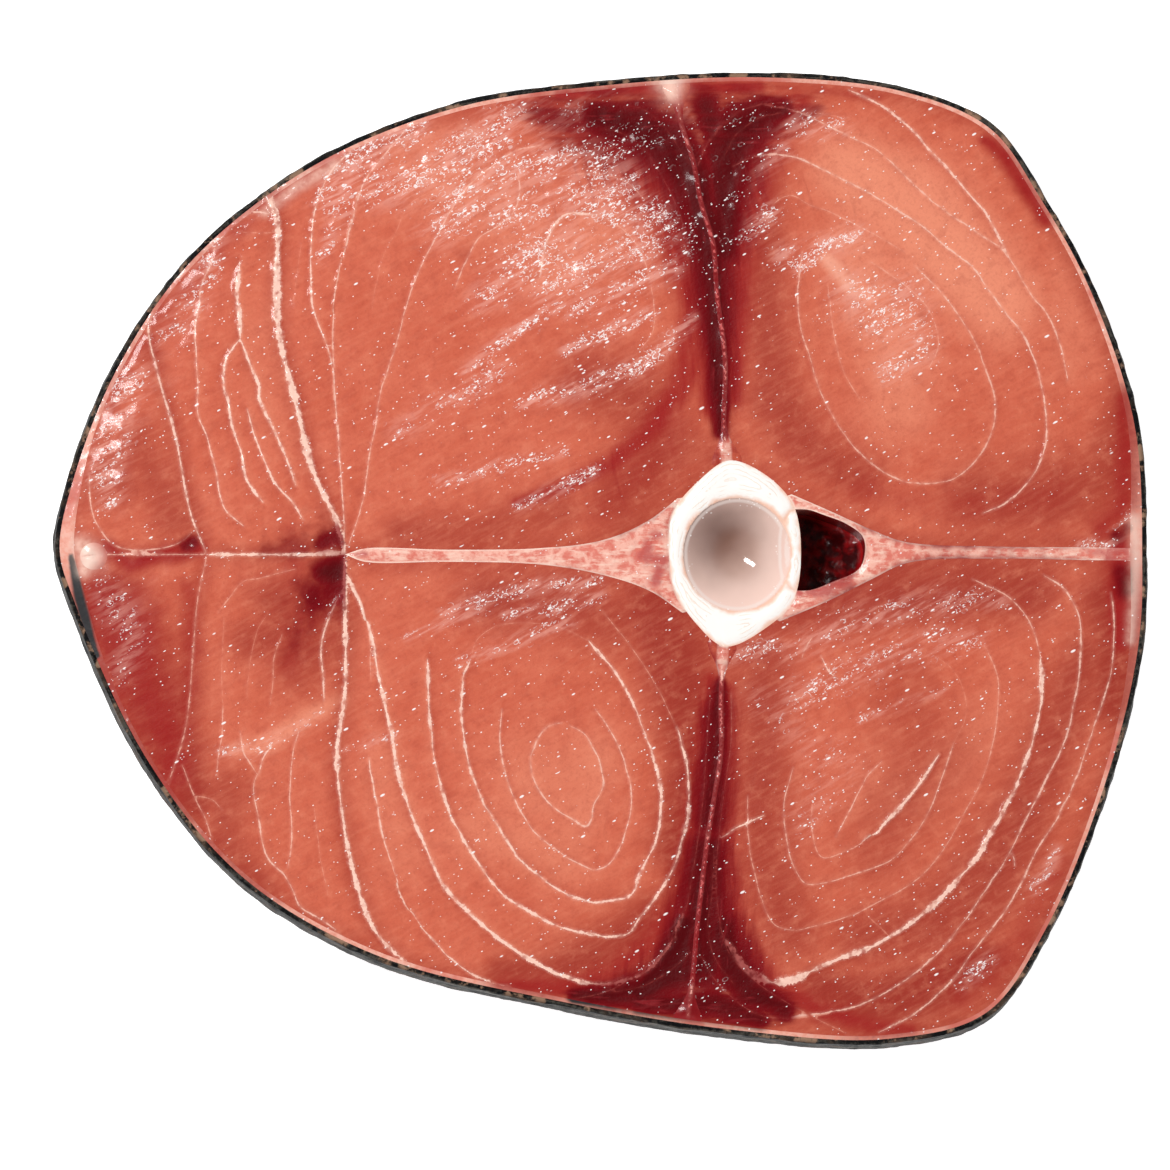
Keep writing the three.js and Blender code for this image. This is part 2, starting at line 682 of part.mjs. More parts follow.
add("finLigament", knob(), "fat");
add("fatLayer", fat(), "fat");
add("skin", skin(), "skin");

// The origin is under the middle of the steak, on the surface that it lies on.
const box = new THREE.Box3().setFromObject(steak);
const middle = box.getCenter(new THREE.Vector3());
steak.position.set(-middle.x, -middle.y, 0);

export default steak;
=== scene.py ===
"""The looks of a thick raw marlin steak, seen from straight above on white.

The upper face is one sheet of triangles, drawn along every seam and muscle layer and shared out among the
pieces, so that neighbours meet without a crack. Each piece is a closed mesh that stands for its CAD solid.
Plan lengths are in millimetres round the backbone's axis: X runs from the fish's back to its belly and Y to
its left flank. Heights are in millimetres above the surface that the steak lies on.
"""

import json
import math

import bpy
import numpy as np
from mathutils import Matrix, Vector, kdtree
from mathutils.geometry import delaunay_2d_cdt


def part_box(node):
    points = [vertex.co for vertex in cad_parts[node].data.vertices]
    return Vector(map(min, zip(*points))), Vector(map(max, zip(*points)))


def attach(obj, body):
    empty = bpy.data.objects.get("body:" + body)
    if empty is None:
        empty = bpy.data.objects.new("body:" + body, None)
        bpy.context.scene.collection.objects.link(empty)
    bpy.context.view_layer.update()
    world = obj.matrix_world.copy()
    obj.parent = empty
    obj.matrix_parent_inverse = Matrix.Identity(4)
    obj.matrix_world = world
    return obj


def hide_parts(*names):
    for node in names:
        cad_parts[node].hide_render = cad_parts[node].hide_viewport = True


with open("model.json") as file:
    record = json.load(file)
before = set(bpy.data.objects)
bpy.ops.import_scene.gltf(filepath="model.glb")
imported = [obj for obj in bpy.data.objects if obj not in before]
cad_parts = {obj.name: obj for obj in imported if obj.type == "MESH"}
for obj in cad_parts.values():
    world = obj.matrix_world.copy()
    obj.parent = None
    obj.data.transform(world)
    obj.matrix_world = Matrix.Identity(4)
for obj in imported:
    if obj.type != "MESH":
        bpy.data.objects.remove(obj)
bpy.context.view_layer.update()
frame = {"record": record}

# ---- Sizes, as in the CAD part ----
THICKNESS = 32
LIFT = 0.8  # how far skin and fat stay clear of the surface below
SKIN = 1.2
BULGE = np.array((0.006, 0.006))  # how much the soft body spreads at its widest level
BULGE_LEVEL = 0.55
BULGE_LEFT = 0.65
LEAN = np.array((-0.3, -2))  # how far the lower face is shifted
JELLY_RADIUS = 13.6
JELLY_OVAL = 1.05
JELLY_SAG = 6
JELLY_DROP = 1.3
CUP_DEPTH = 18
CUP_FLOOR = 2
SEAM_GAP = 0.3
BONE_RISE = 0.7
MEMBRANE_RISE = 0.3
CLOT_HEIGHT = 10
KNOB = (-160.8, -0.4)
KNOB_RADIUS = 3.4
STEP = 0.8  # between vertices
LINE_STEP = 0.2  # between the places kept along a white line
STRAY = 0.25  # how far a ragged layer strays from its curve

# Heights of the relief on the upper face.
RIDGE = 0.28  # of a white line
LEDGE = 0.09  # of the step that a white line makes
CROWN = 0.3  # of a muscle's middle over its seams
SEAM_DIP = 0.12
DARK_DIP = 0.36  # how far the dark muscle sinks
KNOB_RISE = 0.5
RIM_DROP = 0.5

SKIN_EDGE = [
    (102.5, 0), (100.5, 33), (89.5, 66.5), (77, 89.5), (64, 107.5), (41.5, 117), (6.5, 120.5), (-33, 118.5),
    (-70, 113), (-106, 98.5), (-136.5, 75), (-156, 47), (-167.5, 17.5), (-170.5, 1),
    (-167, -11.5), (-149, -51), (-124.7, -81.2), (-91.2, -101), (-45, -112.7), (1, -120.2),
    (38, -122.2), (63, -115.5), (78.7, -93.3), (94, -55), (101.5, -23),
]
BACKBONE = [
    (16, 1), (14, 12.5), (7, 20), (-2, 23.5), (-10, 18), (-16, 10.5), (-17, 1), (-15.5, -9),
    (-10, -17.5), (-3, -23), (7, -18.5), (14, -11.5),
]
CANAL = [
    (13, -8), (17.5, -9), (24, -6.8), (30.5, -3.6), (32, 0.5), (31.5, 4.4), (27.5, 7.6), (22, 9.8),
    (17, 11.3), (13, 10.5),
]
FORK = (-98, 0)  # where the crest seams meet
FIN_FORK = (-132.5, 0)
SEAMS = {
    "crestLeft": [
        FORK, (-99.5, 7), (-106, 21), (-110, 37), (-114.5, 55.5), (-115, 71.5), (-115, 83.5), (-118.5, 93),
    ],
    "crestRight": [
        FORK, (-98, -13), (-98, -34), (-100, -49.5), (-99, -62.5), (-96, -79), (-90.5, -94), (-81.5, -103.5),
    ],
    "finLeft": [FIN_FORK, (-136.5, 10), (-140.5, 30), (-145, 46), (-147, 57.5), (-142.5, 67)],
    "finRight": [FIN_FORK, (-135, -12.5), (-136, -25), (-138, -44), (-143, -59.5)],
    "crestMiddle": [FORK, (-115, 0), FIN_FORK],
    "finMiddle": [FIN_FORK, (-147, 0), (-160, 0)],
    "darkBackLeft": [
        (-6, 38), (-8, 56), (-10, 70), (-12.5, 82.5), (-17, 93), (-23, 101), (-32, 106), (-44, 109.5),
        (-58, 116),
    ],
    "darkBellyLeft": [
        (-0.4, 38), (-1, 56), (-1.5, 73.5), (-0.5, 86), (2, 96), (7, 103.5), (16, 112), (25, 119.5),
    ],
    "darkBackRight": [
        (-6.5, -34), (-7.5, -46.5), (-8.5, -61.5), (-11, -79), (-14, -92.5), (-20.5, -101),
        (-32, -109), (-48, -112),
    ],
    "darkBellyRight": [
        (-1.5, -34), (-1.5, -46.5), (-3.5, -61.5), (-5, -76.5), (-5, -86.5), (-2, -99.5), (5, -107),
        (16, -114), (30, -121),
    ],
    "backUpper": [FORK, (-93, 1.5), (-72, 1.2), (-49, 1.6), (-34, 3.5), (-23, 8), (-13, 15.5)],
    "backLower": [FORK, (-93, -1.8), (-72, -1.8), (-49, -2.5), (-34, -5), (-22, -9), (-13, -15)],
    "bellyUpper": [(11.5, 16), (23, 11), (33, 6.5), (42, 3.2), (66, 2), (88, 1.8), (100, 1.5)],
    "bellyLower": [(10, -17), (23, -11.5), (33, -6.5), (43, -2), (66, -1), (88, -1.4), (100, -1.5)],
}
FLANK_LEFT = [
    (-2.5, 23), (-3.3, 33), (-3, 48.5), (-5, 65), (-6, 77.5), (-9, 88), (-11, 98.5), (-14, 108), (-15.3, 118),
]
FLANK_RIGHT = [
    (-3.5, -22), (-4, -36.5), (-4, -49), (-6, -62.5), (-7.5, -72), (-9, -84.5), (-10, -93.5), (-11, -105),
    (-12.4, -117),
]
FLANK_HALF_WIDTH = 0.6
FLANK_FOOT = (3.2, 5)

# ---- Muscle layers and stains ----
# They are placed on a grid of quarter millimetres, counted right and down from the corner of the square that
# the camera sees, with the backbone's axis at AXIS.
GRID = 0.25
AXIS = np.array((737, 554.5))

# The lines where muscle layers meet: half width in millimetres, whiteness, raggedness, and places along each.
LAYERS = [
    # the back muscle's whorl, right flank
    (0.22, 0.55, 0.8, [
        (562, 723), (549, 727), (536, 742), (531, 761), (536, 784), (553, 807), (575, 820), (587, 826),
        (595, 804), (603, 784), (598, 758), (585, 735), (570, 725),
    ]),
    (0.2, 0.55, 0.6, [
        (595, 709), (611, 732), (624, 761), (631, 794), (627, 826), (611, 862), (595, 870), (582, 865),
        (559, 852), (536, 833), (520, 810), (507, 778), (500, 745), (502, 709),
    ]),
    (0.3, 0.7, 1, [
        (588, 641), (614, 670), (634, 706), (647, 739), (657, 771), (661, 804), (657, 836), (640, 875),
        (631, 895), (608, 901), (588, 901), (562, 892), (543, 879), (517, 856), (497, 823), (478, 791),
        (466, 752), (461, 713), (463, 680), (470, 660),
    ]),
    (0.12, 0.35, 0.3, [(588, 641), (562, 628), (533, 623), (497, 626), (478, 639), (470, 660)]),
    (0.34, 0.75, 1, [
        (676, 726), (686, 761), (689, 797), (686, 826), (670, 875), (640, 918), (627, 934), (595, 935),
        (559, 927), (536, 914), (504, 895), (478, 862), (458, 830), (442, 791), (432, 739), (428, 693),
        (427, 660),
    ]),
    (0.14, 0.4, 0.3, [(676, 726), (657, 687), (634, 651), (601, 609)]),
    (0.4, 0.85, 0.8, [
        (345, 573), (354, 590), (367, 622), (380, 680), (390, 726), (400, 778), (413, 817), (429, 856),
        (445, 888), (471, 914), (497, 937), (526, 957), (556, 973), (588, 983), (614, 983), (644, 973),
        (670, 944), (686, 908),
    ]),
    (0.24, 0.6, 1, [
        (369, 758), (375, 797), (383, 836), (393, 869), (406, 905), (426, 931), (445, 953), (471, 973),
        (494, 983), (510, 987),
    ]),
    # the crest muscle, right flank
    (0.2, 0.45, 0.5, [(223, 706), (221, 742), (218, 757), (217, 776)]),
    (0.22, 0.5, 0.6, [(240, 732), (244, 755), (251, 765), (257, 775)]),
    (0.26, 0.6, 0.6, [(272, 746), (263, 759), (258, 775)]),
    (0.24, 0.55, 0.7, [
        (257, 775), (254, 784), (255, 801), (259, 819), (261, 838), (267, 857), (282, 873), (292, 887),
        (301, 907), (328, 924), (343, 937),
    ]),
    (0.2, 0.5, 0.5, [(299, 731), (293, 752), (291, 776), (290, 799), (292, 834), (288, 868)]),
    (0.14, 0.35, 0.4, [(314, 807), (318, 838), (320, 859), (326, 884), (328, 895)]),
    (0.12, 0.25, 0.4, [(376, 811), (380, 832), (387, 853), (395, 876), (404, 899), (414, 918), (437, 941)]),
    (0.16, 0.4, 0.4, [(295, 569), (260, 578), (243, 582), (230, 597), (218, 613)]),
    (0.14, 0.3, 0.4, [(224, 616), (223, 641), (222, 670), (222, 691), (224, 714)]),
    (0.14, 0.3, 0.4, [(268, 613), (257, 632), (251, 657), (248, 680), (247, 699)]),
    (0.18, 0.4, 0.4, [(282, 634), (274, 658), (273, 680), (270, 704)]),
    (0.28, 0.6, 0.5, [(343, 588), (325, 628), (321, 651), (323, 676), (324, 701)]),
    (0.2, 0.45, 0.5, [(182, 765), (194, 796), (205, 819), (213, 842)]),
    (0.16, 0.4, 0.5, [(194, 796), (211, 799), (223, 810)]),
    (0.8, 0.3, 0.8, [(326, 711), (309, 719), (284, 736), (264, 748), (242, 752)]),
    # the crest muscle, left flank
    (0.24, 0.6, 0.5, [
        (214, 250), (210, 265), (201, 288), (199, 306), (195, 326), (196, 352), (198, 383), (198, 414),
        (207, 437), (212, 457), (217, 475), (220, 495), (227, 512), (244, 526),
    ]),
    (0.55, 0.95, 0.6, [(240, 262), (237, 293), (240, 319), (240, 339)]),
    (0.34, 0.8, 0.6, [
        (240, 339), (227, 357), (224, 388), (228, 400), (232, 426), (241, 452), (247, 480), (263, 502),
    ]),
    (0.36, 0.8, 0.6, [(240, 339), (247, 357), (258, 383), (260, 400), (275, 432), (287, 460), (296, 486)]),
    (0.26, 0.65, 0.5, [(247, 409), (255, 437), (264, 460), (275, 483), (293, 503), (304, 521)]),
    (0.3, 0.6, 0.4, [(270, 214), (255, 212), (242, 217), (227, 230), (214, 247)]),
    (0.2, 0.35, 0.4, [(278, 232), (255, 233), (235, 231)]),
    # the fin muscle, left flank
    (0.24, 0.5, 0.3, [
        (89, 473), (91, 507), (98, 526), (113, 544), (132, 550), (157, 549), (172, 546), (184, 540),
        (192, 532),
    ]),
    # the back muscle, left flank
    (0.24, 0.55, 0.5, [
        (409, 125), (386, 153), (366, 179), (357, 202), (346, 245), (340, 268), (334, 303), (333, 337),
        (334, 383), (337, 423), (340, 458), (343, 500), (345, 540),
    ]),
    (0.24, 0.6, 0.5, [
        (352, 150), (332, 170), (321, 191), (314, 216), (311, 251), (311, 280), (313, 308), (329, 351),
        (333, 372),
    ]),
    (0.14, 0.3, 0.4, [(301, 245), (296, 281), (293, 301)]),
    (0.16, 0.35, 0.4, [(357, 191), (349, 224), (343, 255), (337, 286), (333, 316), (332, 357), (333, 400)]),
    (0.14, 0.3, 0.4, [(438, 188), (409, 205), (395, 234), (383, 257), (377, 280), (372, 308)]),
    (0.22, 0.5, 0.5, [
        (541, 145), (518, 150), (489, 168), (469, 185), (452, 208), (441, 228), (429, 251), (415, 280),
        (406, 308), (398, 337), (389, 366), (380, 394), (376, 423), (370, 452), (363, 500), (349, 545),
    ]),
    (0.22, 0.5, 0.5, [
        (518, 173), (520, 193), (512, 214), (495, 228), (478, 239), (466, 262), (455, 288),
    ]),
    (0.4, 0.6, 0.5, [(598, 215), (564, 215), (550, 234), (544, 251), (540, 277)]),
    (0.16, 0.4, 0.4, [(598, 215), (621, 228), (639, 248), (650, 280), (654, 308), (653, 331), (639, 351)]),
    (0.18, 0.4, 0.4, [(560, 176), (585, 174), (604, 175), (627, 182), (644, 199)]),
    # the belly muscle, left flank
    (0.36, 0.6, 0.4, [
        (849, 90), (882, 106), (912, 130), (932, 153), (948, 169), (968, 193), (985, 212), (998, 236),
        (1011, 262),
    ]),
    (0.24, 0.5, 0.5, [
        (763, 105), (796, 111), (822, 123), (849, 136), (875, 149), (895, 166), (915, 186), (938, 206),
        (962, 222), (982, 236), (1001, 249), (1018, 272), (1031, 295), (1048, 315), (1061, 348), (1068, 382),
    ]),
    (0.26, 0.55, 0.5, [
        (733, 166), (759, 156), (789, 156), (816, 166), (842, 179), (869, 193), (895, 209), (922, 226),
        (948, 249), (972, 266), (988, 289), (1005, 312), (1025, 338), (1038, 372), (1045, 408), (1045, 445),
        (1031, 478), (1008, 501), (982, 514),
    ]),
    (0.24, 0.5, 0.5, [
        (802, 252), (799, 275), (798, 302), (802, 335), (809, 355), (819, 388), (832, 415), (849, 441),
        (869, 461), (895, 478), (925, 484), (955, 478), (978, 458), (992, 431), (995, 401), (985, 368),
        (975, 342), (958, 315), (938, 289), (915, 266),
    ]),
    (0.2, 0.4, 0.6, [
        (771, 208), (776, 202), (790, 196), (812, 206), (830, 212), (870, 232), (905, 252),
    ]),
    (0.2, 0.4, 0.6, [(828, 285), (835, 340), (845, 375), (860, 400)]),
    (0.2, 0.4, 0.6, [(870, 262), (905, 285), (930, 312), (938, 345), (928, 370)]),
    # the belly muscle, right flank
    (0.2, 0.5, 0.5, [(882, 761), (868, 775), (857, 796), (845, 818), (836, 837)]),
    (0.16, 0.45, 0.5, [(812, 804), (812, 832), (821, 857), (839, 854), (861, 843), (879, 829)]),
    (0.38, 0.95, 0.7, [(861, 843), (879, 829), (900, 807), (921, 782), (939, 754)]),
    (0.18, 0.5, 0.5, [
        (793, 768), (784, 804), (787, 843), (796, 871), (807, 884), (836, 880), (864, 871), (889, 861),
        (911, 839), (929, 811), (943, 775), (954, 743),
    ]),
    (0.14, 0.3, 0.5, [(954, 743), (964, 721), (966, 700), (954, 671), (932, 654)]),
    (0.18, 0.45, 0.5, [
        (748, 796), (748, 836), (754, 871), (764, 907), (775, 925), (793, 930), (818, 925), (850, 916),
        (882, 900), (918, 879), (943, 850), (964, 814), (982, 779), (993, 743), (998, 707), (998, 679),
        (986, 646),
    ]),
    (0.85, 0.9, 1, [(727, 940), (739, 961), (752, 974), (768, 982), (793, 980), (811, 971)]),
    (0.46, 0.85, 1, [
        (811, 971), (843, 957), (879, 943), (914, 921), (946, 893), (971, 864), (993, 829), (1014, 789),
        (1032, 743), (1041, 700), (1041, 657),
    ]),
    (0.2, 0.5, 0.5, [(1041, 657), (1029, 621), (1007, 596), (971, 579)]),
    (0.24, 0.55, 0.7, [
        (793, 1016), (836, 1011), (871, 1000), (907, 979), (936, 955), (961, 925), (986, 889), (1007, 857),
        (1025, 821), (1046, 779), (1064, 743), (1075, 700), (1080, 657), (1079, 618), (1064, 589),
        (1043, 575),
    ]),
    (0.24, 0.55, 0.7, [
        (879, 1032), (914, 1014), (950, 982), (971, 954), (1000, 918), (1018, 889), (1039, 846), (1057, 818),
        (1079, 771), (1096, 721), (1111, 671), (1114, 625), (1111, 593),
    ]),
    # sinews in the dark muscle
    (0.24, 0.3, 0.7, [(600, 128), (622, 133), (640, 145), (655, 165), (668, 187), (680, 215), (690, 250)]),
    (0.2, 0.25, 0.7, [(612, 104), (640, 108), (660, 122), (675, 142), (690, 165)]),
    (0.5, 0.3, 0.8, [(800, 103), (765, 104), (742, 110), (722, 125), (705, 148), (697, 168)]),
    (0.24, 0.25, 0.7, [(850, 118), (815, 113), (780, 113), (755, 120), (735, 137), (722, 160)]),
    (0.2, 0.35, 0.7, [(700, 955), (712, 975), (735, 1000), (760, 1015), (790, 1018), (830, 1014)]),
    (0.16, 0.3, 0.7, [(697, 945), (672, 968), (645, 985), (612, 992)]),
    (0.16, 0.25, 0.7, [(714, 850), (712, 890), (708, 930), (716, 960), (735, 985)]),
    # stray fibres
    (0.22, 0.75, 0.6, [(721, 838), (735, 829), (750, 822), (765, 815)]),
    (0.4, 0.5, 0.6, [(802, 658), (806, 647), (812, 638)]),
    (0.3, 0.6, 0.6, [(821, 656), (828, 670), (838, 679)]),
    (0.5, 0.3, 0.6, [(866, 914), (880, 928), (895, 942)]),
    (0.2, 0.6, 0.5, [(1011, 851), (1014, 858), (1015, 866)]),
    (0.16, 0.4, 0.5, [(1034, 878), (1045, 870), (1052, 862)]),
    (0.14, 0.4, 0.5, [(354, 584), (364, 609), (369, 640), (371, 680)]),
    (0.5, 0.6, 0.6, [(341, 552), (330, 551), (318, 552)]),
]
# The seams between blocks that show as white lines: half width, whiteness, raggedness.
SEAM_LINES = {
    "crestLeft": (0.8, 0.95, 0.6),
    "crestRight": (0.5, 0.9, 0.8),
    "finLeft": (0.32, 0.65, 0.5),
    "finRight": (0.28, 0.45, 0.6),
    "crestMiddle": (0.42, 0.8, 0.6),
    "finMiddle": (0.3, 0.5, 0.8),
    "darkBackRight": (0.16, 0.35, 0.4),
    "darkBellyRight": (0.16, 0.35, 0.4),
}
FLANK_LINES = [(0.3, 0.7, 0.9, FLANK_LEFT), (0.3, 0.8, 0.7, FLANK_RIGHT)]
# Stains, and wet patches that are rougher and where sheen and glints are painted: strength, then places with
# a radius, all in grid steps.
DARK = [
    # the upper wedge
    (1, [
        (600, 118, 24), (640, 128, 34), (672, 148, 38), (694, 185, 36), (706, 225, 29), (712, 265, 24),
        (716, 310, 20), (718, 360, 16), (720, 400, 12), (721, 432, 8),
    ]),
    (1, [(785, 109, 10), (762, 116, 24), (738, 130, 34), (728, 160, 33), (724, 200, 27), (722, 250, 22)]),
    (0.5, [(540, 114, 20), (575, 122, 32), (620, 142, 40)]),
    (0.35, [(815, 110, 12), (780, 122, 26)]),
    (0.9, [(706, 104, 18), (714, 130, 20), (718, 160, 20)]),
    # the lower wedge
    (0.9, [(720, 685, 8), (717, 720, 16), (714, 770, 19), (710, 820, 21)]),
    (1, [(707, 850, 24), (704, 890, 28), (702, 930, 34), (704, 960, 38)]),
    (1, [(722, 930, 24), (732, 965, 28), (750, 992, 22), (785, 1010, 13)]),
    (1, [(680, 970, 30), (650, 988, 24), (615, 995, 16), (575, 995, 9)]),
    (1.3, [(684, 925, 14), (678, 950, 20), (668, 972, 20), (640, 992, 12)]),
    (0.9, [(640, 1002, 14), (675, 1004, 17), (715, 1004, 20), (760, 1018, 13)]),
    # where the skin is thick at the back end, and where the fin seams meet
    (0.8, [(71, 556, 3), (75, 575, 5), (79, 596, 6), (85, 618, 6), (91, 638, 4), (97, 656, 3)]),
    (0.8, [(186, 545, 9), (193, 541, 8)]),
    # at the belly end
    (0.7, [(1122, 572, 12), (1125, 590, 10)]),
    (0.6, [(1118, 535, 9), (1126, 528, 8)]),
]
# Where the crest seams meet, inside the crest muscles only.
FORK_DARK = [
    (0.8, [(338, 536, 15), (322, 541, 14)]),
    (0.4, [(325, 535, 26), (290, 543, 20), (265, 549, 12)]),
    (1, [(344, 570, 18), (326, 574, 17)]),
    (0.65, [(338, 590, 26), (316, 596, 26)]),
    (0.3, [(312, 612, 30), (298, 640, 22)]),
]
RED = [
    (0.9, [
        (545, 112, 22), (590, 130, 38), (640, 165, 40), (672, 220, 32), (688, 280, 24), (702, 350, 18),
        (712, 410, 14),
    ]),
    (0.9, [
        (800, 108, 20), (765, 120, 38), (752, 170, 34), (742, 230, 24), (738, 290, 18), (736, 350, 15),
        (732, 400, 12),
    ]),
    (0.6, [(520, 106, 9), (570, 98, 15), (680, 100, 16), (780, 94, 12)]),
    (0.85, [(517, 503, 8), (560, 488, 10), (610, 465, 13), (650, 430, 16), (690, 375, 18), (702, 330, 15)]),
    (0.4, [(640, 470, 34), (680, 420, 30), (600, 510, 24)]),
    (0.8, [
        (712, 680, 10), (705, 740, 14), (699, 800, 15), (690, 860, 18), (676, 910, 22), (648, 950, 20),
        (605, 978, 16), (560, 988, 12), (500, 985, 8),
    ]),
    (0.8, [
        (728, 690, 10), (730, 750, 11), (729, 800, 12), (729, 860, 13), (735, 910, 16), (748, 950, 17),
        (775, 985, 16), (820, 1012, 13), (870, 1026, 11), (910, 1030, 8),
    ]),
    (0.5, [(290, 530, 22), (300, 570, 24), (308, 610, 26), (298, 640, 18), (290, 668, 14)]),
    (0.6, [(188, 590, 16), (189, 640, 17), (188, 690, 15), (180, 720, 12)]),
    (1, [(560, 95, 9), (620, 90, 9), (700, 88, 10), (760, 88, 9)]),
    (0.5, [(760, 88, 9), (830, 92, 7), (880, 97, 6)]),
    (0.85, [(690, 300, 12), (688, 340, 18), (682, 380, 20)]),
    (0.9, [(800, 592, 8), (826, 590, 9), (848, 581, 7)]),
    (0.7, [(100, 600, 30), (125, 620, 50), (145, 680, 48), (165, 730, 34), (175, 780, 22)]),
    (0.9, [(108, 546, 10), (130, 566, 10), (150, 558, 10), (175, 552, 13), (198, 548, 12)]),
    (0.4, [(110, 400, 20), (140, 350, 20), (180, 300, 18), (230, 240, 16), (290, 190, 14), (330, 165, 12)]),
    (1, [(1120, 548, 16), (1122, 575, 20), (1122, 600, 18), (1120, 640, 12)]),
    (0.75, [(1105, 530, 20), (1124, 500, 16), (1125, 440, 12), (1122, 400, 9)]),
    (0.9, [(985, 140, 8), (1005, 155, 12), (1025, 185, 12), (1045, 220, 10)]),
    (0.8, [(180, 262, 10), (205, 232, 12), (240, 208, 12), (275, 190, 9)]),
    (0.5, [(1065, 860, 10), (1040, 900, 16), (1015, 950, 20), (960, 1000, 16)]),
    (0.4, [(860, 490, 20), (930, 505, 20), (1000, 505, 22), (1060, 495, 22)]),
    (0.9, [(655, 536, 7), (640, 556, 8), (664, 560, 8), (655, 582, 7)]),
    (0.8, [(352, 554, 3), (366, 555, 3)]),
    (0.6, [(1090, 552, 6), (1130, 552, 6)]),
    (0.8, [(812, 578, 8), (830, 582, 7), (850, 574, 6)]),
]
DEEP = [
    (0.7, [(590, 380, 44), (640, 400, 51), (665, 450, 51), (620, 500, 45)]),
    (0.6, [(560, 510, 33), (480, 530, 30), (400, 530, 20)]),
    (0.7, [(765, 180, 24), (762, 240, 32), (765, 320, 36), (775, 400, 40), (810, 450, 40), (860, 480, 34)]),
    (0.7, [(980, 500, 45), (1050, 495, 54), (1110, 480, 45), (1125, 400, 25)]),
    (0.8, [(760, 600, 50), (850, 595, 48), (940, 590, 44), (1030, 590, 40)]),
    (0.7, [(765, 660, 40), (760, 730, 36), (762, 800, 44), (765, 870, 44), (790, 930, 44)]),
    (0.7, [
        (860, 940, 40), (920, 930, 50), (975, 900, 60), (1020, 830, 50), (1050, 740, 40), (1090, 660, 40),
    ]),
    (0.5, [(880, 850, 50), (930, 760, 60), (900, 680, 50)]),
    (0.9, [(1110, 600, 38), (1118, 640, 34), (1112, 700, 30)]),
    (1, [(820, 990, 30), (870, 1005, 36), (930, 990, 36), (980, 960, 30)]),
    (1, [(660, 610, 50), (685, 690, 44), (695, 760, 36), (680, 850, 32)]),
    (0.7, [(480, 600, 36), (560, 602, 44), (620, 620, 50)]),
    (0.8, [(650, 920, 34), (600, 955, 36), (550, 975, 28), (500, 970, 20)]),
    (0.7, [(275, 600, 40), (300, 660, 44), (330, 620, 34), (250, 640, 30)]),
    (0.6, [(225, 790, 36), (220, 840, 36), (260, 890, 30)]),
    (1, [(110, 600, 40), (125, 660, 56), (150, 710, 52), (170, 760, 40), (190, 800, 30)]),
    (0.6, [(120, 480, 40), (140, 440, 30), (170, 520, 30)]),
]
LIGHT = [
    (0.9, [(850, 170, 45), (900, 200, 60), (950, 250, 60), (1000, 300, 50)]),
    (0.6, [(860, 240, 51), (890, 330, 60), (900, 400, 45)]),
    (0.5, [(420, 160, 50), (520, 220, 60), (560, 260, 60), (600, 230, 40)]),
    (0.5, [(540, 780, 60), (600, 760, 36), (560, 860, 39), (480, 830, 40)]),
    (0.35, [(400, 860, 36), (380, 740, 27)]),
    (0.3, [(260, 330, 36), (270, 420, 36)]),
    (0.25, [(220, 690, 30)]),
    (0.3, [(870, 780, 50), (930, 800, 40), (980, 720, 40)]),
    (0.4, [(1070, 350, 45), (1060, 280, 36)]),
    (0.8, [(340, 700, 10), (305, 718, 13), (270, 742, 12), (235, 750, 10)]),
    (1, [(826, 258, 10), (840, 272, 12), (868, 300, 14)]),
]
PALE = [
    (0.6, [(335, 165, 6), (300, 185, 6), (265, 212, 5)]),
    (0.2, [(470, 130, 10), (465, 142, 8)]),
    (0.9, [(670, 86, 13), (671, 94, 8)]),
    (0.9, [(82, 546, 10), (90, 557, 12), (84, 570, 7)]),
    (0.5, [(1134, 520, 6), (1136, 560, 6), (1134, 590, 6), (1130, 640, 5)]),
    (0.5, [(798, 512, 5), (806, 514, 4)]),
    (0.25, [(826, 258, 6), (838, 270, 7), (850, 290, 6)]),
]
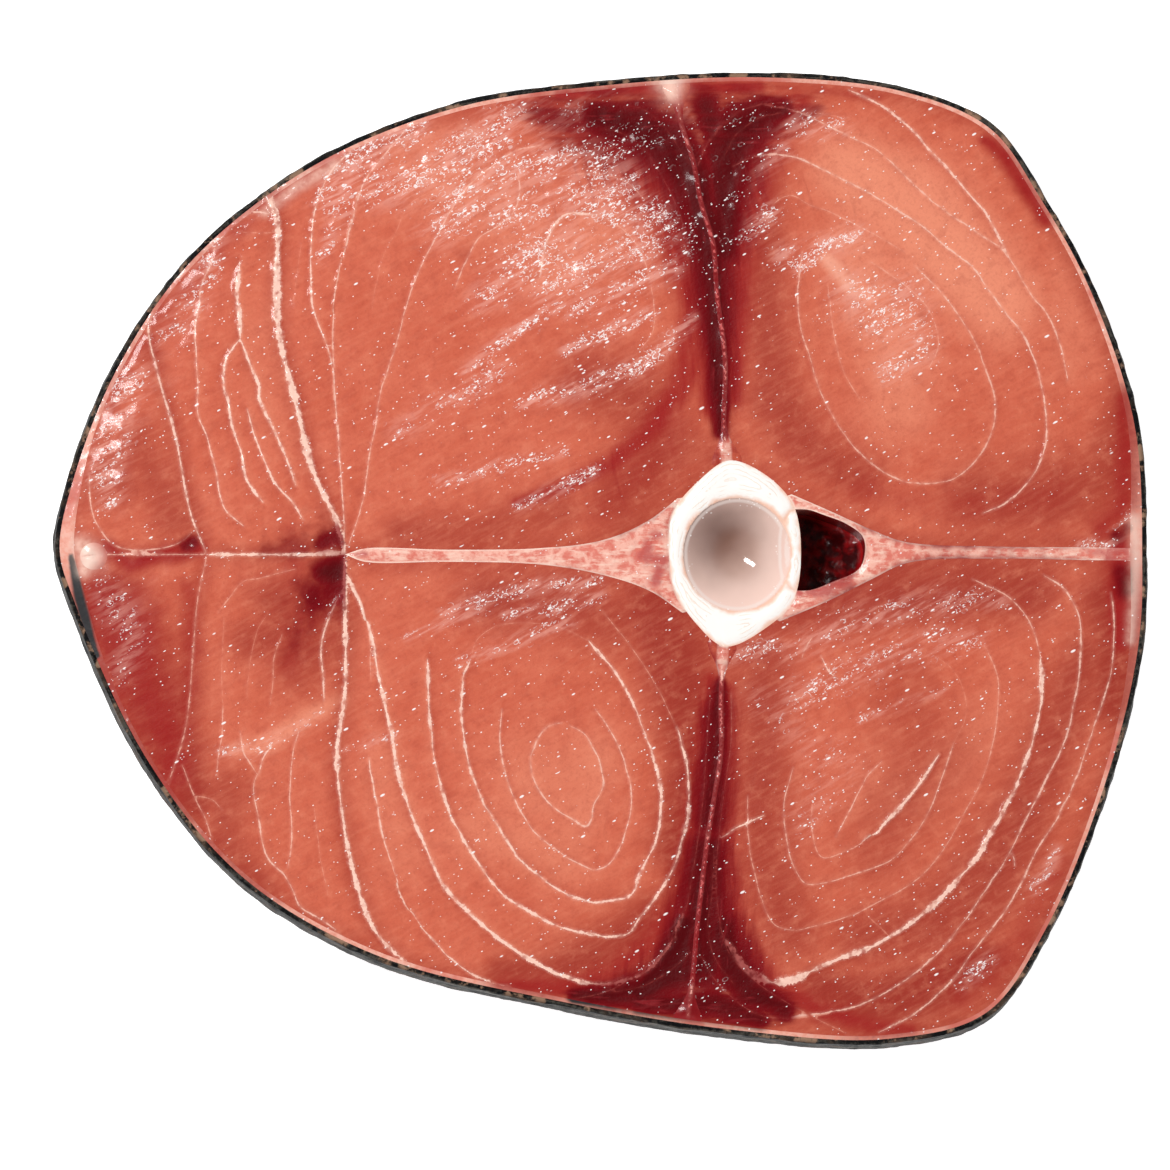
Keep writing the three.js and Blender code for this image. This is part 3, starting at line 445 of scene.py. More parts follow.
WET = [
    # crumbly patches
    (1, [(330, 200, 16), (345, 175, 18), (362, 160, 18), (385, 145, 14), (420, 128, 10)]),
    (0.9, [(372, 190, 16), (398, 189, 18), (425, 175, 16), (458, 150, 16), (500, 135, 14)]),
    (0.9, [(490, 122, 12), (520, 118, 16), (560, 120, 20), (610, 125, 24), (660, 140, 26)]),
    (0.9, [(440, 225, 20), (465, 200, 22), (490, 180, 24), (530, 165, 24), (570, 158, 26), (620, 165, 28)]),
    (0.8, [(500, 215, 14), (530, 205, 20), (570, 195, 24), (610, 200, 28), (650, 215, 24), (680, 225, 16)]),
    (0.75, [(480, 300, 14), (510, 275, 20), (540, 252, 22), (575, 240, 18)]),
    (0.75, [(540, 295, 10), (575, 275, 18), (610, 258, 18), (650, 245, 14)]),
    (0.9, [(570, 312, 8), (600, 300, 12), (640, 282, 11), (675, 268, 9)]),
    (0.7, [(680, 120, 16), (700, 130, 16), (706, 166, 18), (692, 213, 14), (692, 252, 10)]),
    (0.9, [(728, 135, 18), (749, 120, 16), (775, 122, 16), (805, 125, 14), (840, 128, 10)]),
    (0.9, [(732, 200, 12), (741, 178, 13), (760, 162, 11), (785, 150, 8)]),
    (0.9, [(730, 238, 10), (745, 228, 12), (770, 212, 10)]),
    (0.8, [(780, 255, 10), (801, 259, 14), (825, 246, 12), (860, 236, 12)]),
    (0.8, [(345, 215, 8), (332, 230, 8), (322, 255, 8)]),
    (0.6, [(215, 235, 12), (205, 275, 14), (190, 310, 14), (165, 340, 12)]),
    (0.8, [(130, 380, 20), (115, 420, 20), (105, 465, 16), (110, 500, 12)]),
    (0.55, [(105, 592, 14), (120, 612, 18), (135, 640, 14), (120, 670, 12)]),
    (0.7, [(850, 290, 22), (880, 320, 22), (905, 300, 22), (920, 350, 16), (890, 370, 14)]),
    (0.6, [(735, 655, 8), (755, 650, 9), (780, 645, 8)]),
    (0.6, [(790, 652, 12), (830, 632, 14), (870, 617, 14), (910, 606, 14), (960, 600, 12), (1000, 600, 8)]),
    (0.45, [(790, 695, 14), (840, 675, 16), (890, 655, 16), (940, 640, 16), (980, 640, 10)]),
    (0.3, [(760, 700, 14), (800, 735, 18), (840, 770, 20), (800, 820, 16)]),
    (0.8, [(1080, 545, 5), (1110, 545, 7), (1122, 530, 6), (1130, 515, 5)]),
    (0.6, [(222, 752, 6), (255, 748, 8), (285, 735, 7), (320, 714, 5)]),
    (0.5, [(345, 750, 4), (370, 742, 6), (395, 735, 4)]),
    (0.7, [(1035, 890, 7), (1048, 870, 6), (1058, 850, 5)]),
    (0.7, [(960, 985, 6), (975, 972, 7), (990, 958, 6)]),
    (0.8, [(680, 1005, 8), (695, 985, 12), (705, 965, 10), (725, 985, 8)]),
    (0.5, [(400, 430, 12), (450, 400, 12), (500, 370, 12)]),
    # drawn out streaks
    (1, [(520, 405, 5), (550, 395, 9), (590, 385, 9), (645, 365, 8), (695, 318, 6)]),
    (0.9, [(565, 350, 6), (600, 335, 8), (650, 313, 7)]),
    (0.8, [(465, 372, 6), (517, 330, 8), (560, 305, 7)]),
    (0.7, [(440, 482, 6), (500, 466, 7), (563, 452, 5)]),
    (0.8, [(517, 507, 5), (550, 492, 7), (595, 472, 6)]),
    (0.8, [(443, 612, 5), (489, 599, 7), (540, 585, 7), (600, 582, 6)]),
    (0.8, [(505, 615, 5), (547, 608, 8), (600, 596, 6)]),
    (0.7, [(408, 637, 5), (450, 620, 6), (488, 612, 4)]),
    (0.7, [(460, 662, 6), (520, 640, 8), (570, 622, 6)]),
    (0.5, [(780, 720, 4), (830, 690, 5), (880, 670, 5)]),
    (0.5, [(860, 720, 4), (900, 705, 5), (945, 690, 4)]),
]


def plan(places):
    """Grid places as millimetres round the backbone's axis."""
    return (np.array(places, float)[:, :2] - AXIS) * (GRID, -GRID)


def noise(xy, size, seed):
    """Smooth noise from -1 to 1 whose bumps have about the given size."""
    across = 256  # cells, after which the noise repeats
    table = np.random.default_rng(seed).uniform(-1, 1, (across, across))
    place = xy / size + 1000  # clear of places below 0
    cell = np.floor(place).astype(int)
    part = place - cell
    part = part * part * (3 - 2 * part)
    low, high = cell % across, (cell + 1) % across
    near = table[low[:, 0], low[:, 1]] * (1 - part[:, 0]) + table[high[:, 0], low[:, 1]] * part[:, 0]
    far = table[low[:, 0], high[:, 1]] * (1 - part[:, 0]) + table[high[:, 0], high[:, 1]] * part[:, 0]
    return near * (1 - part[:, 1]) + far * part[:, 1]


def relief(xy, seed, *bumps):
    """Noise of several sizes in one: pairs of size and height."""
    return sum(noise(xy, size, seed + k) * height for k, (size, height) in enumerate(bumps))


def smooth(value):
    """0 below 0, 1 above 1, and an even rise between."""
    value = np.clip(value, 0, 1)
    return value * value * (3 - 2 * value)


def curve(points, step=STEP, closed=False):
    """Places about a step apart along the centripetal Catmull-Rom curve through the given points."""
    p = np.array(points, float)
    if closed:
        p = np.vstack([p[-1], p, p[:2]])
    else:
        p = np.vstack([2 * p[0] - p[1], p, 2 * p[-1] - p[-2]])
    dense = []
    for a, b, c, d in zip(p, p[1:], p[2:], p[3:]):
        t1 = math.dist(a, b) ** 0.5
        t2 = t1 + math.dist(b, c) ** 0.5
        t3 = t2 + math.dist(c, d) ** 0.5
        t = np.linspace(t1, t2, 16, endpoint=False)[:, None]
        ab = ((t1 - t) * a + t * b) / t1
        bc = ((t2 - t) * b + (t - t1) * c) / (t2 - t1)
        cd = ((t3 - t) * c + (t - t2) * d) / (t3 - t2)
        abc = ((t2 - t) * ab + t * bc) / t2
        bcd = ((t3 - t) * bc + (t - t1) * cd) / (t3 - t1)
        dense.append(((t2 - t) * abc + (t - t1) * bcd) / (t2 - t1))
    dense = np.vstack(dense + [p[-2]])
    along = np.concatenate([[0], np.cumsum(np.hypot(*np.diff(dense, axis=0).T))])
    steps = max(2, round(along[-1] / step))
    at = np.linspace(0, along[-1], steps + 1)
    line = np.column_stack([np.interp(at, along, dense[:, 0]), np.interp(at, along, dense[:, 1])])
    return line[:-1] if closed else line


def inset(loop, by):
    """An anticlockwise loop moved inwards."""
    along = np.roll(loop, -1, axis=0) - np.roll(loop, 1, axis=0)
    outward = np.column_stack([along[:, 1], -along[:, 0]])
    outward /= np.hypot(*outward.T)[:, None]
    return loop - outward * np.reshape(by, (-1, 1))


def nearest(loop, target):
    return int(np.argmin(np.hypot(*(loop - target).T)))


def end_on(loop, line):
    """Ends a line on the loop's vertex that it comes to."""
    gaps = [np.min(np.hypot(*(loop - p).T)) for p in line]
    close = next((i for i, gap in enumerate(gaps) if gap < STEP and i > 0), len(line))
    return np.vstack([line[:close], loop[nearest(loop, line[min(close, len(line) - 1)])]])


def start_on(loop, line):
    return end_on(loop, line[::-1])[::-1]


def between(loop, a, b):
    """The vertices of a loop from the one nearest a to the one nearest b, going anticlockwise."""
    first, last = nearest(loop, a), nearest(loop, b)
    return loop[[(first + i) % len(loop) for i in range((last - first) % len(loop) + 1)]]


def circle(centre, radius, oval=1.0):
    steps = round(2 * math.pi * radius / STEP)
    angle = np.arange(steps) * 2 * math.pi / steps
    return np.column_stack([centre[0] + radius * np.cos(angle), centre[1] + radius * oval * np.sin(angle)])


# ---- The plan's loops and seams ----
skin_outer = curve(SKIN_EDGE, closed=True)
skin_inner = inset(skin_outer, SKIN)


def fat_width(loop):
    from_belly = np.abs(np.arctan2(loop[:, 1], loop[:, 0]))
    from_back = math.pi - from_belly
    return 1 + 2.6 * np.exp(-((from_back / 0.13) ** 2)) + 2 * np.exp(-((from_belly / 0.3) ** 2))


rim = inset(skin_inner, fat_width(skin_inner))
backbone = curve(BACKBONE, closed=True)
canal = curve(CANAL, closed=True)
jelly_rim = circle((0, 0), JELLY_RADIUS, JELLY_OVAL)
knob = circle(KNOB, KNOB_RADIUS)

seams = {name: curve(points) for name, points in SEAMS.items()}
for name in ("backUpper", "backLower"):
    seams[name] = end_on(backbone, seams[name])
for name in ("bellyUpper", "bellyLower"):
    seams[name] = start_on(backbone, end_on(rim, seams[name]))
for name in SEAMS:
    if name.startswith(("crestL", "crestR", "fin", "dark")):
        seams[name] = end_on(rim, seams[name])


def membrane_edge(points, side):
    """One edge of a flank membrane, which is wider at the bone and at the skin."""
    line = curve(points)
    ahead = np.vstack([line[1:], line[-1]]) - np.vstack([line[0], line[:-1]])
    normal = np.column_stack([ahead[:, 1], -ahead[:, 0]]) / np.hypot(*ahead.T)[:, None]
    turn = np.sign(normal[:, :1]) * side
    near_end = np.minimum(np.hypot(*(line - line[0]).T), np.hypot(*(line - line[-1]).T))
    half = FLANK_HALF_WIDTH + FLANK_FOOT[0] * np.exp(-((near_end / FLANK_FOOT[1]) ** 2))
    return start_on(backbone, end_on(rim, line + normal * half[:, None] * turn))


flank = {
    "leftBack": membrane_edge(FLANK_LEFT, -1),
    "leftBelly": membrane_edge(FLANK_LEFT, 1),
    "rightBack": membrane_edge(FLANK_RIGHT, -1),
    "rightBelly": membrane_edge(FLANK_RIGHT, 1),
}
inner, outer = {}, {}
for edge, seam in {
    "leftBack": "darkBackLeft",
    "leftBelly": "darkBellyLeft",
    "rightBack": "darkBackRight",
    "rightBelly": "darkBellyRight",
}.items():
    at = nearest(flank[edge], seams[seam][0])
    inner[edge], outer[edge] = flank[edge][: at + 1], flank[edge][at:]
    seams[seam][0] = flank[edge][at]


def rim_from(a, b):
    return between(rim, a[-1], b[-1])


def bone_from(a, b):
    return between(backbone, a[0], b[0])[::-1]


up, low = seams["backUpper"][::-1], seams["backLower"][::-1]
outlines = {
    "fatLayer": [skin_inner],
    "backLeftMuscle": [
        up[::-1], bone_from(flank["leftBack"], up), inner["leftBack"], seams["darkBackLeft"],
        rim_from(seams["darkBackLeft"], seams["crestLeft"]), seams["crestLeft"][::-1],
    ],
    "backRightMuscle": [
        low, seams["crestRight"], rim_from(seams["crestRight"], seams["darkBackRight"]),
        seams["darkBackRight"][::-1], inner["rightBack"][::-1], bone_from(low, flank["rightBack"]),
    ],
    "bellyLeftMuscle": [
        seams["bellyUpper"], rim_from(seams["bellyUpper"], seams["darkBellyLeft"]),
        seams["darkBellyLeft"][::-1], inner["leftBelly"][::-1],
        bone_from(seams["bellyUpper"], flank["leftBelly"]),
    ],
    "bellyRightMuscle": [
        seams["bellyLower"][::-1], bone_from(flank["rightBelly"], seams["bellyLower"]),
        inner["rightBelly"], seams["darkBellyRight"], rim_from(seams["darkBellyRight"], seams["bellyLower"]),
    ],
    "crestLeftMuscle": [
        seams["crestLeft"], rim_from(seams["crestLeft"], seams["finLeft"]), seams["finLeft"][::-1],
        seams["crestMiddle"][::-1],
    ],
    "crestRightMuscle": [
        seams["crestMiddle"], seams["finRight"], rim_from(seams["finRight"], seams["crestRight"]),
        seams["crestRight"][::-1],
    ],
    "finLeftMuscle": [
        seams["finLeft"], rim_from(seams["finLeft"], seams["finMiddle"]), seams["finMiddle"][::-1],
    ],
    "finRightMuscle": [
        seams["finMiddle"], rim_from(seams["finMiddle"], seams["finRight"]), seams["finRight"][::-1],
    ],
    "darkBackLeftMuscle": [
        outer["leftBack"], rim_from(flank["leftBack"], seams["darkBackLeft"]),
        seams["darkBackLeft"][::-1],
    ],
    "darkBellyLeftMuscle": [
        seams["darkBellyLeft"], rim_from(seams["darkBellyLeft"], flank["leftBelly"]),
        outer["leftBelly"][::-1],
    ],
    "darkBackRightMuscle": [
        seams["darkBackRight"], rim_from(seams["darkBackRight"], flank["rightBack"]),
        outer["rightBack"][::-1],
    ],
    "darkBellyRightMuscle": [
        outer["rightBelly"], rim_from(flank["rightBelly"], seams["darkBellyRight"]),
        seams["darkBellyRight"][::-1],
    ],
    "flankMembraneLeft": [
        flank["leftBelly"], rim_from(flank["leftBelly"], flank["leftBack"]), flank["leftBack"][::-1],
        bone_from(flank["leftBelly"], flank["leftBack"]),
    ],
    "flankMembraneRight": [
        flank["rightBack"], rim_from(flank["rightBack"], flank["rightBelly"]), flank["rightBelly"][::-1],
        bone_from(flank["rightBack"], flank["rightBelly"]),
    ],
    "backMembrane": [low[::-1], bone_from(up, low), up],
    "bellyMembrane": [
        seams["bellyLower"], rim_from(seams["bellyLower"], seams["bellyUpper"]), seams["bellyUpper"][::-1],
        bone_from(seams["bellyLower"], seams["bellyUpper"]),
    ],
    "finLigament": [knob],
    "canalClot": [canal],
    "backboneBone": [backbone],
    "backboneJelly": [jelly_rim],
}
names = list(outlines)


# ---- One sheet of triangles over the whole face ----
def kd(points):
    tree = kdtree.KDTree(len(points))
    for i, (x, y) in enumerate(points):
        tree.insert((x, y, 0), i)
    tree.balance()
    return tree


def distances(tree, points):
    return np.array([tree.find((x, y, 0))[2] for x, y in points])


class Drawing:
    """Places, and the lines and loops that join them. Places that repeat are kept once."""

    def __init__(self):
        self.places, self.known, self.edges, self.faces = [], {}, [], []

    def add(self, points):
        ids = []
        for x, y in points:
            key = (round(x, 3), round(y, 3))
            if key not in self.known:
                self.known[key] = len(self.places)
                self.places.append(key)
            if not ids or ids[-1] != self.known[key]:
                ids.append(self.known[key])
        return ids

    def loop(self, lines):
        ids = self.add(np.vstack(lines))
        self.faces.append(ids[:-1] if ids[0] == ids[-1] else ids)

    def line(self, points):
        ids = self.add(points)
        self.edges += list(zip(ids, ids[1:]))


drawing = Drawing()
for lines in outlines.values():
    drawing.loop(lines)
edge_tree = kd(drawing.places)


def layer_samples():
    """Close places along all white lines: place, direction, half width, whiteness."""
    rows = []
    white_lines = [(half, white, ragged, plan(points)) for half, white, ragged, points in LAYERS]
    white_lines += [(*SEAM_LINES[name], SEAMS[name]) for name in SEAM_LINES]
    white_lines += FLANK_LINES
    for n, (half, white, ragged, points) in enumerate(white_lines):
        line = curve(points, LINE_STEP)
        wobble = noise(line, 1.3, 50 + n) * 0.6 + noise(line, 4, 90 + n) * 0.6
        if n < len(LAYERS):
            line = line + np.column_stack([noise(line, 3, 130), noise(line, 3, 131)]) * STRAY * ragged
        ahead = np.gradient(line, axis=0)
        ahead /= np.hypot(*ahead.T)[:, None]
        width = (0.28 + 0.6 * white) * half * np.clip(1 + 1.2 * wobble * ragged, 0.2, 2.8)
        steps = np.arange(len(line))
        ends = smooth(np.minimum(steps, steps[::-1]) / 20 + 0.15)
        rows.append(np.column_stack([line, ahead, width * ends, np.full(len(line), white)]))
    return rows


samples = layer_samples()
for row in samples[: len(LAYERS)]:
    points = row[:: round(STEP / LINE_STEP), :2]
    clear = distances(edge_tree, points) > 0.5
    for a, b, ok in zip(points, points[1:], clear & np.roll(clear, -1)):
        if ok:
            drawing.line([a, b])
samples = np.vstack(samples)
line_tree = kd(samples[:, :2])


def filling():
    """Evenly spread places with a little disorder, off the lines."""
    size = STEP * 1.02
    low, high = skin_inner.min(axis=0), skin_inner.max(axis=0)
    rows = np.arange(low[1], high[1], size * math.sqrt(3) / 2)
    points = [
        (x, y)
        for k, y in enumerate(rows)
        for x in np.arange(low[0] + (k % 2) * size / 2, high[0], size)
    ]
    points = np.array(points)
    points += np.random.default_rng(7).uniform(-0.12, 0.12, points.shape)
    tree = kd(drawing.places)
    return points[distances(tree, points) > 0.45 * STEP]


drawing.add(filling())
verts, _, triangles, _, _, owners = delaunay_2d_cdt(
    [Vector(p) for p in drawing.places], drawing.edges, drawing.faces, 1, 0.002, True
)
sheet = np.array([tuple(v) for v in verts])
triangles = np.array(triangles)
owner = np.array([max(faces, default=-1) for faces in owners])


# ---- Heights and stains over the sheet ----
def line_facts(xy):
    """Distance to the nearest white line, on which side of it, and its half width and whiteness."""
    found = [line_tree.find((x, y, 0)) for x, y in xy]
    at = np.array([f[1] for f in found])
    away = np.array([f[2] for f in found])
    x, y, ahead_x, ahead_y, half, white = samples[at].T
    to_x, to_y = xy[:, 0] - x, xy[:, 1] - y
    along = np.abs(to_x * ahead_x + to_y * ahead_y)
    across = ahead_x * to_y - ahead_y * to_x
    return np.where(along < 0.6 * LINE_STEP, np.abs(across), away), np.sign(across), half, white


def stain(xy, strokes):
    """How strongly soft round marks along the strokes cover each place."""
    value = np.zeros(len(xy))
    for strength, places in strokes:
        marks = np.array(places, float)
        at = np.linspace(0, len(marks) - 1, 12 * (len(marks) - 1) + 1)
        marks = np.column_stack([np.interp(at, np.arange(len(marks)), marks[:, k]) for k in range(3)])
        for (x, y), radius in zip(plan(marks), marks[:, 2] * GRID):
            near = ((xy[:, 0] - x) ** 2 + (xy[:, 1] - y) ** 2) / radius**2
            value = np.maximum(value, strength * np.exp(-near))
    return value


inside = np.zeros((len(names), len(sheet)), bool)
for k in range(len(names)):
    inside[k, triangles[owner == k].ravel()] = True


def within(*which):
    """Which of the sheet's vertices belong to the named pieces, borders included."""
    return np.any([inside[names.index(name)] for name in which], axis=0)


away, side, half, white = line_facts(sheet)
edge_away = distances(edge_tree, sheet)
dark, red, deep, light, pale, wet = (stain(sheet, strokes) for strokes in (DARK, RED, DEEP, LIGHT, PALE, WET))
dark = np.maximum(dark, stain(sheet, FORK_DARK) * within("crestLeftMuscle", "crestRightMuscle"))
from_flank = distances(kd(np.vstack([curve(FLANK_LEFT), curve(FLANK_RIGHT)])), sheet)
# Painted light and shade: on one side of each white line the flesh is painted lighter and on the other
# darker, as the ledge there tilts toward or away from the light.
tilt_light_and_shade = 0.5 + 0.5 * side * white * np.exp(-away / 1.8)


def heights():
    """How far the upper face stands above its level."""
    up = relief(sheet, 1, (34, 0.35), (9, 0.16), (3.2, 0.06))
    up += wet * relief(sheet, 4, (1.8, 0.14), (3.5, 0.14))
    ridge = np.exp(-((away / (0.35 + half)) ** 2)) * white * np.minimum(1, half / 0.3)
    up += RIDGE * ridge
    up += LEDGE * side * np.exp(-away / 2.2) * white
    dip = np.exp(-((edge_away / 1.1) ** 2))
    muscle = within(*[name for name in names if name.endswith("Muscle")])
    up += np.where(muscle, CROWN * smooth(edge_away / 14) - SEAM_DIP * dip * (1 - ridge), 0)
    up -= DARK_DIP * dark * smooth(edge_away / 3) * muscle
    membrane = within(*[name for name in names if "Membrane" in name])
    up += np.where(membrane, MEMBRANE_RISE * smooth(edge_away / 2) + noise(sheet, 1.6, 6) * 0.1, 0)
    up += np.where(within("backboneBone"), BONE_RISE * smooth(edge_away / 2), 0)
    up += np.where(within("finLigament"), KNOB_RISE * smooth(edge_away / 2.5), 0)
    rim_away = distances(kd(skin_inner), sheet)
    up -= RIM_DROP * np.exp(-((rim_away / 1.6) ** 2))
    return up


lift = heights()


def settle(xy, z):
    """The soft body's sides bulge below the upper face, and its lower face is shifted."""
    depth = np.clip(1 - z / THICKNESS, 0, 1)
    grown = np.where(
        depth < BULGE_LEVEL,
        np.sin(depth / BULGE_LEVEL * math.pi / 2),
        1 - (1 - BULGE_LEFT) * ((depth - BULGE_LEVEL) / (1 - BULGE_LEVEL)) ** 2,
    )
    return xy * (1 + BULGE * grown[:, None]) + LEAN * depth[:, None]


# The backbone's axis in the shared frame, in millimetres.
CENTRE = np.mean(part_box("backboneJelly"), axis=0)[:2] * 1000


def placed(xy, z):
    """Metres in the shared frame."""
    return np.column_stack([xy + CENTRE, z]) / 1000


# ---- Meshes ----
def keys_of(pairs):
    """One number for each pair of vertices, whichever comes first."""
    return pairs.min(axis=1).astype(np.int64) * 10**6 + pairs.max(axis=1)


def mesh_object(name, places, faces, uvs, attributes, material, creases=None):
    """A smooth piece that rides the one body, sharp only along the creases."""
    mesh = bpy.data.meshes.new(name)
    mesh.vertices.add(len(places))
    mesh.vertices.foreach_set("co", np.ascontiguousarray(places, dtype=np.float32).ravel())
    count = faces.shape[1]
    mesh.loops.add(faces.size)
    mesh.loops.foreach_set("vertex_index", faces.ravel().astype(np.int32))
    mesh.polygons.add(len(faces))
    mesh.polygons.foreach_set("loop_start", np.arange(0, faces.size, count, dtype=np.int32))
    mesh.polygons.foreach_set("loop_total", np.full(len(faces), count, dtype=np.int32))
    mesh.polygons.foreach_set("use_smooth", np.ones(len(faces), bool))
    layer = mesh.uv_layers.new(name="OFBake")
    layer.data.foreach_set("uv", uvs.astype(np.float32).ravel())
    for key, values in attributes.items():
        kept = mesh.attributes.new(key, "FLOAT_COLOR", "POINT")
        kept.data.foreach_set("color", values.astype(np.float32).ravel())
    mesh.update(calc_edges=True)
    if creases is not None:
        ends = np.zeros(2 * len(mesh.edges), np.int32)
        mesh.edges.foreach_get("vertices", ends)
        sharp = np.isin(keys_of(ends.reshape(-1, 2)), keys_of(creases))
        mesh.edges.foreach_set("use_edge_sharp", sharp)
    piece = bpy.data.objects.new(name, mesh)
    bpy.context.scene.collection.objects.link(piece)
    mesh.materials.append(material)
    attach(piece, "root")
    return piece


def border_of(tris):
    """The edges that only one triangle has, each in its triangle's direction."""
    sides = np.vstack([tris[:, [0, 1]], tris[:, [1, 2]], tris[:, [2, 0]]])
    count = tris.max() + 1
    keys = sides[:, 0] * count + sides[:, 1]
    back = sides[:, 1] * count + sides[:, 0]
    return sides[~np.isin(keys, back)]


def walls_between(rows):
    """Triangles from each ring of border edges to the one below it."""
    walls = []
    for above, below in zip(rows, rows[1:]):
        a, b, c, d = above[:, 0], above[:, 1], below[:, 1], below[:, 0]
        walls += [np.column_stack([b, a, d]), np.column_stack([b, d, c])]
    return walls


def prism(name, chosen, top, bottom, levels, material, free=None):
    """A closed piece between two heights over some of the sheet's triangles. Free places aren't settled."""
    used = np.unique(chosen)
    n = len(used)
    index = np.full(len(sheet), -1)
    index[used] = np.arange(n)
    tris = index[chosen]
    border = border_of(tris)
    ring = np.unique(border)
    spot = np.full(n, -1)
    spot[ring] = np.arange(len(ring))
    xy, z_top, z_bottom = sheet[used], top[used], bottom[used]
    loose = np.zeros(n, bool) if free is None else free[used]

    def place(at, z):
        return placed(np.where(loose[at][:, None], xy[at], settle(xy[at], z)), z)

    everyone = np.arange(n)
    places = [place(everyone, z_top), place(everyone, z_bottom)]
    rows = [border]
    for k, share in enumerate(levels):
        places.append(place(ring, z_bottom[ring] + (z_top[ring] - z_bottom[ring]) * share))
        rows.append(2 * n + k * len(ring) + spot[border])
    rows.append(border + n)
    faces = np.vstack([tris, tris[:, ::-1] + n] + walls_between(rows))
    uvs = uv_of(xy, tris, border, len(rows) - 1)
    order = used[np.concatenate([everyone, everyone] + [ring] * len(levels))]
    # The third attribute holds how wet each place is (where sheen and glints are painted), pale, the painted
    # light and shade by tilt, and distance from the flank membranes.
    facts = {
        "tint": np.column_stack([dark, red, deep, light])[order],
        "line": np.column_stack([away, half, white, edge_away])[order],
        "wet_sheen": np.column_stack([wet, pale, tilt_light_and_shade, from_flank])[order],
    }
    piece = mesh_object(name, np.vstack(places), faces, uvs, facts, material, np.vstack([border, border + n]))
    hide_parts(name)
    return piece


def uv_of(xy, tris, border, bands):
    """The upper face above the middle of the square, the lower face below it, and the walls in a strip."""
    low, size = xy.min(axis=0), np.ptp(xy, axis=0)
    flat = (xy - low) / size * (0.98, 0.46) + (0.01, 0.53)
    upper = flat[tris]
    lower = flat[tris[:, ::-1]] - (0, 0.52)
    start = 0.01 + 0.98 * np.arange(len(border)) / len(border)
    width = 0.98 / len(border)
    walls = []
    for k in range(bands):
        high, below = 0.515 - 0.03 * k / bands, 0.515 - 0.03 * (k + 1) / bands
        a, b = (start, high), (start + width, high)
        c, d = (start + width, below), (start, below)
        for corners in ((b, a, d), (b, d, c)):
            walls.append(np.stack([np.column_stack(np.broadcast_arrays(u, v)) for u, v in corners], axis=1))
    return np.concatenate([upper, lower] + walls)


# ---- Materials ----
def linear(*colour):
    """A colour of 0 to 255 a channel as light."""
    shares = [c / 255 for c in colour]
    return (*[c / 12.92 if c < 0.0404 else ((c + 0.055) / 1.055) ** 2.4 for c in shares], 1)


FLESH = linear(204, 96, 71)
FLESH_WARM = linear(215, 110, 84)
FLESH_LIGHT = linear(234, 142, 112)
FLESH_DEEP = linear(160, 54, 42)
# Painted sheen: the pale pink shine of wet flesh.
PAINTED_SHEEN = linear(244, 182, 168)
BLOOD = linear(156, 30, 30)
MAROON = linear(120, 6, 16)
BLACK_RED = linear(84, 2, 8)
SHEEN = linear(170, 44, 50)
LINE = linear(249, 204, 186)
LINE_DIM = linear(236, 152, 126)
LINE_DARK = linear(150, 40, 44)
GLINT = linear(254, 248, 246)
WHITE = (1, 1, 1, 1)
SLANT = math.radians(-29)  # turns the way the saw went onto X


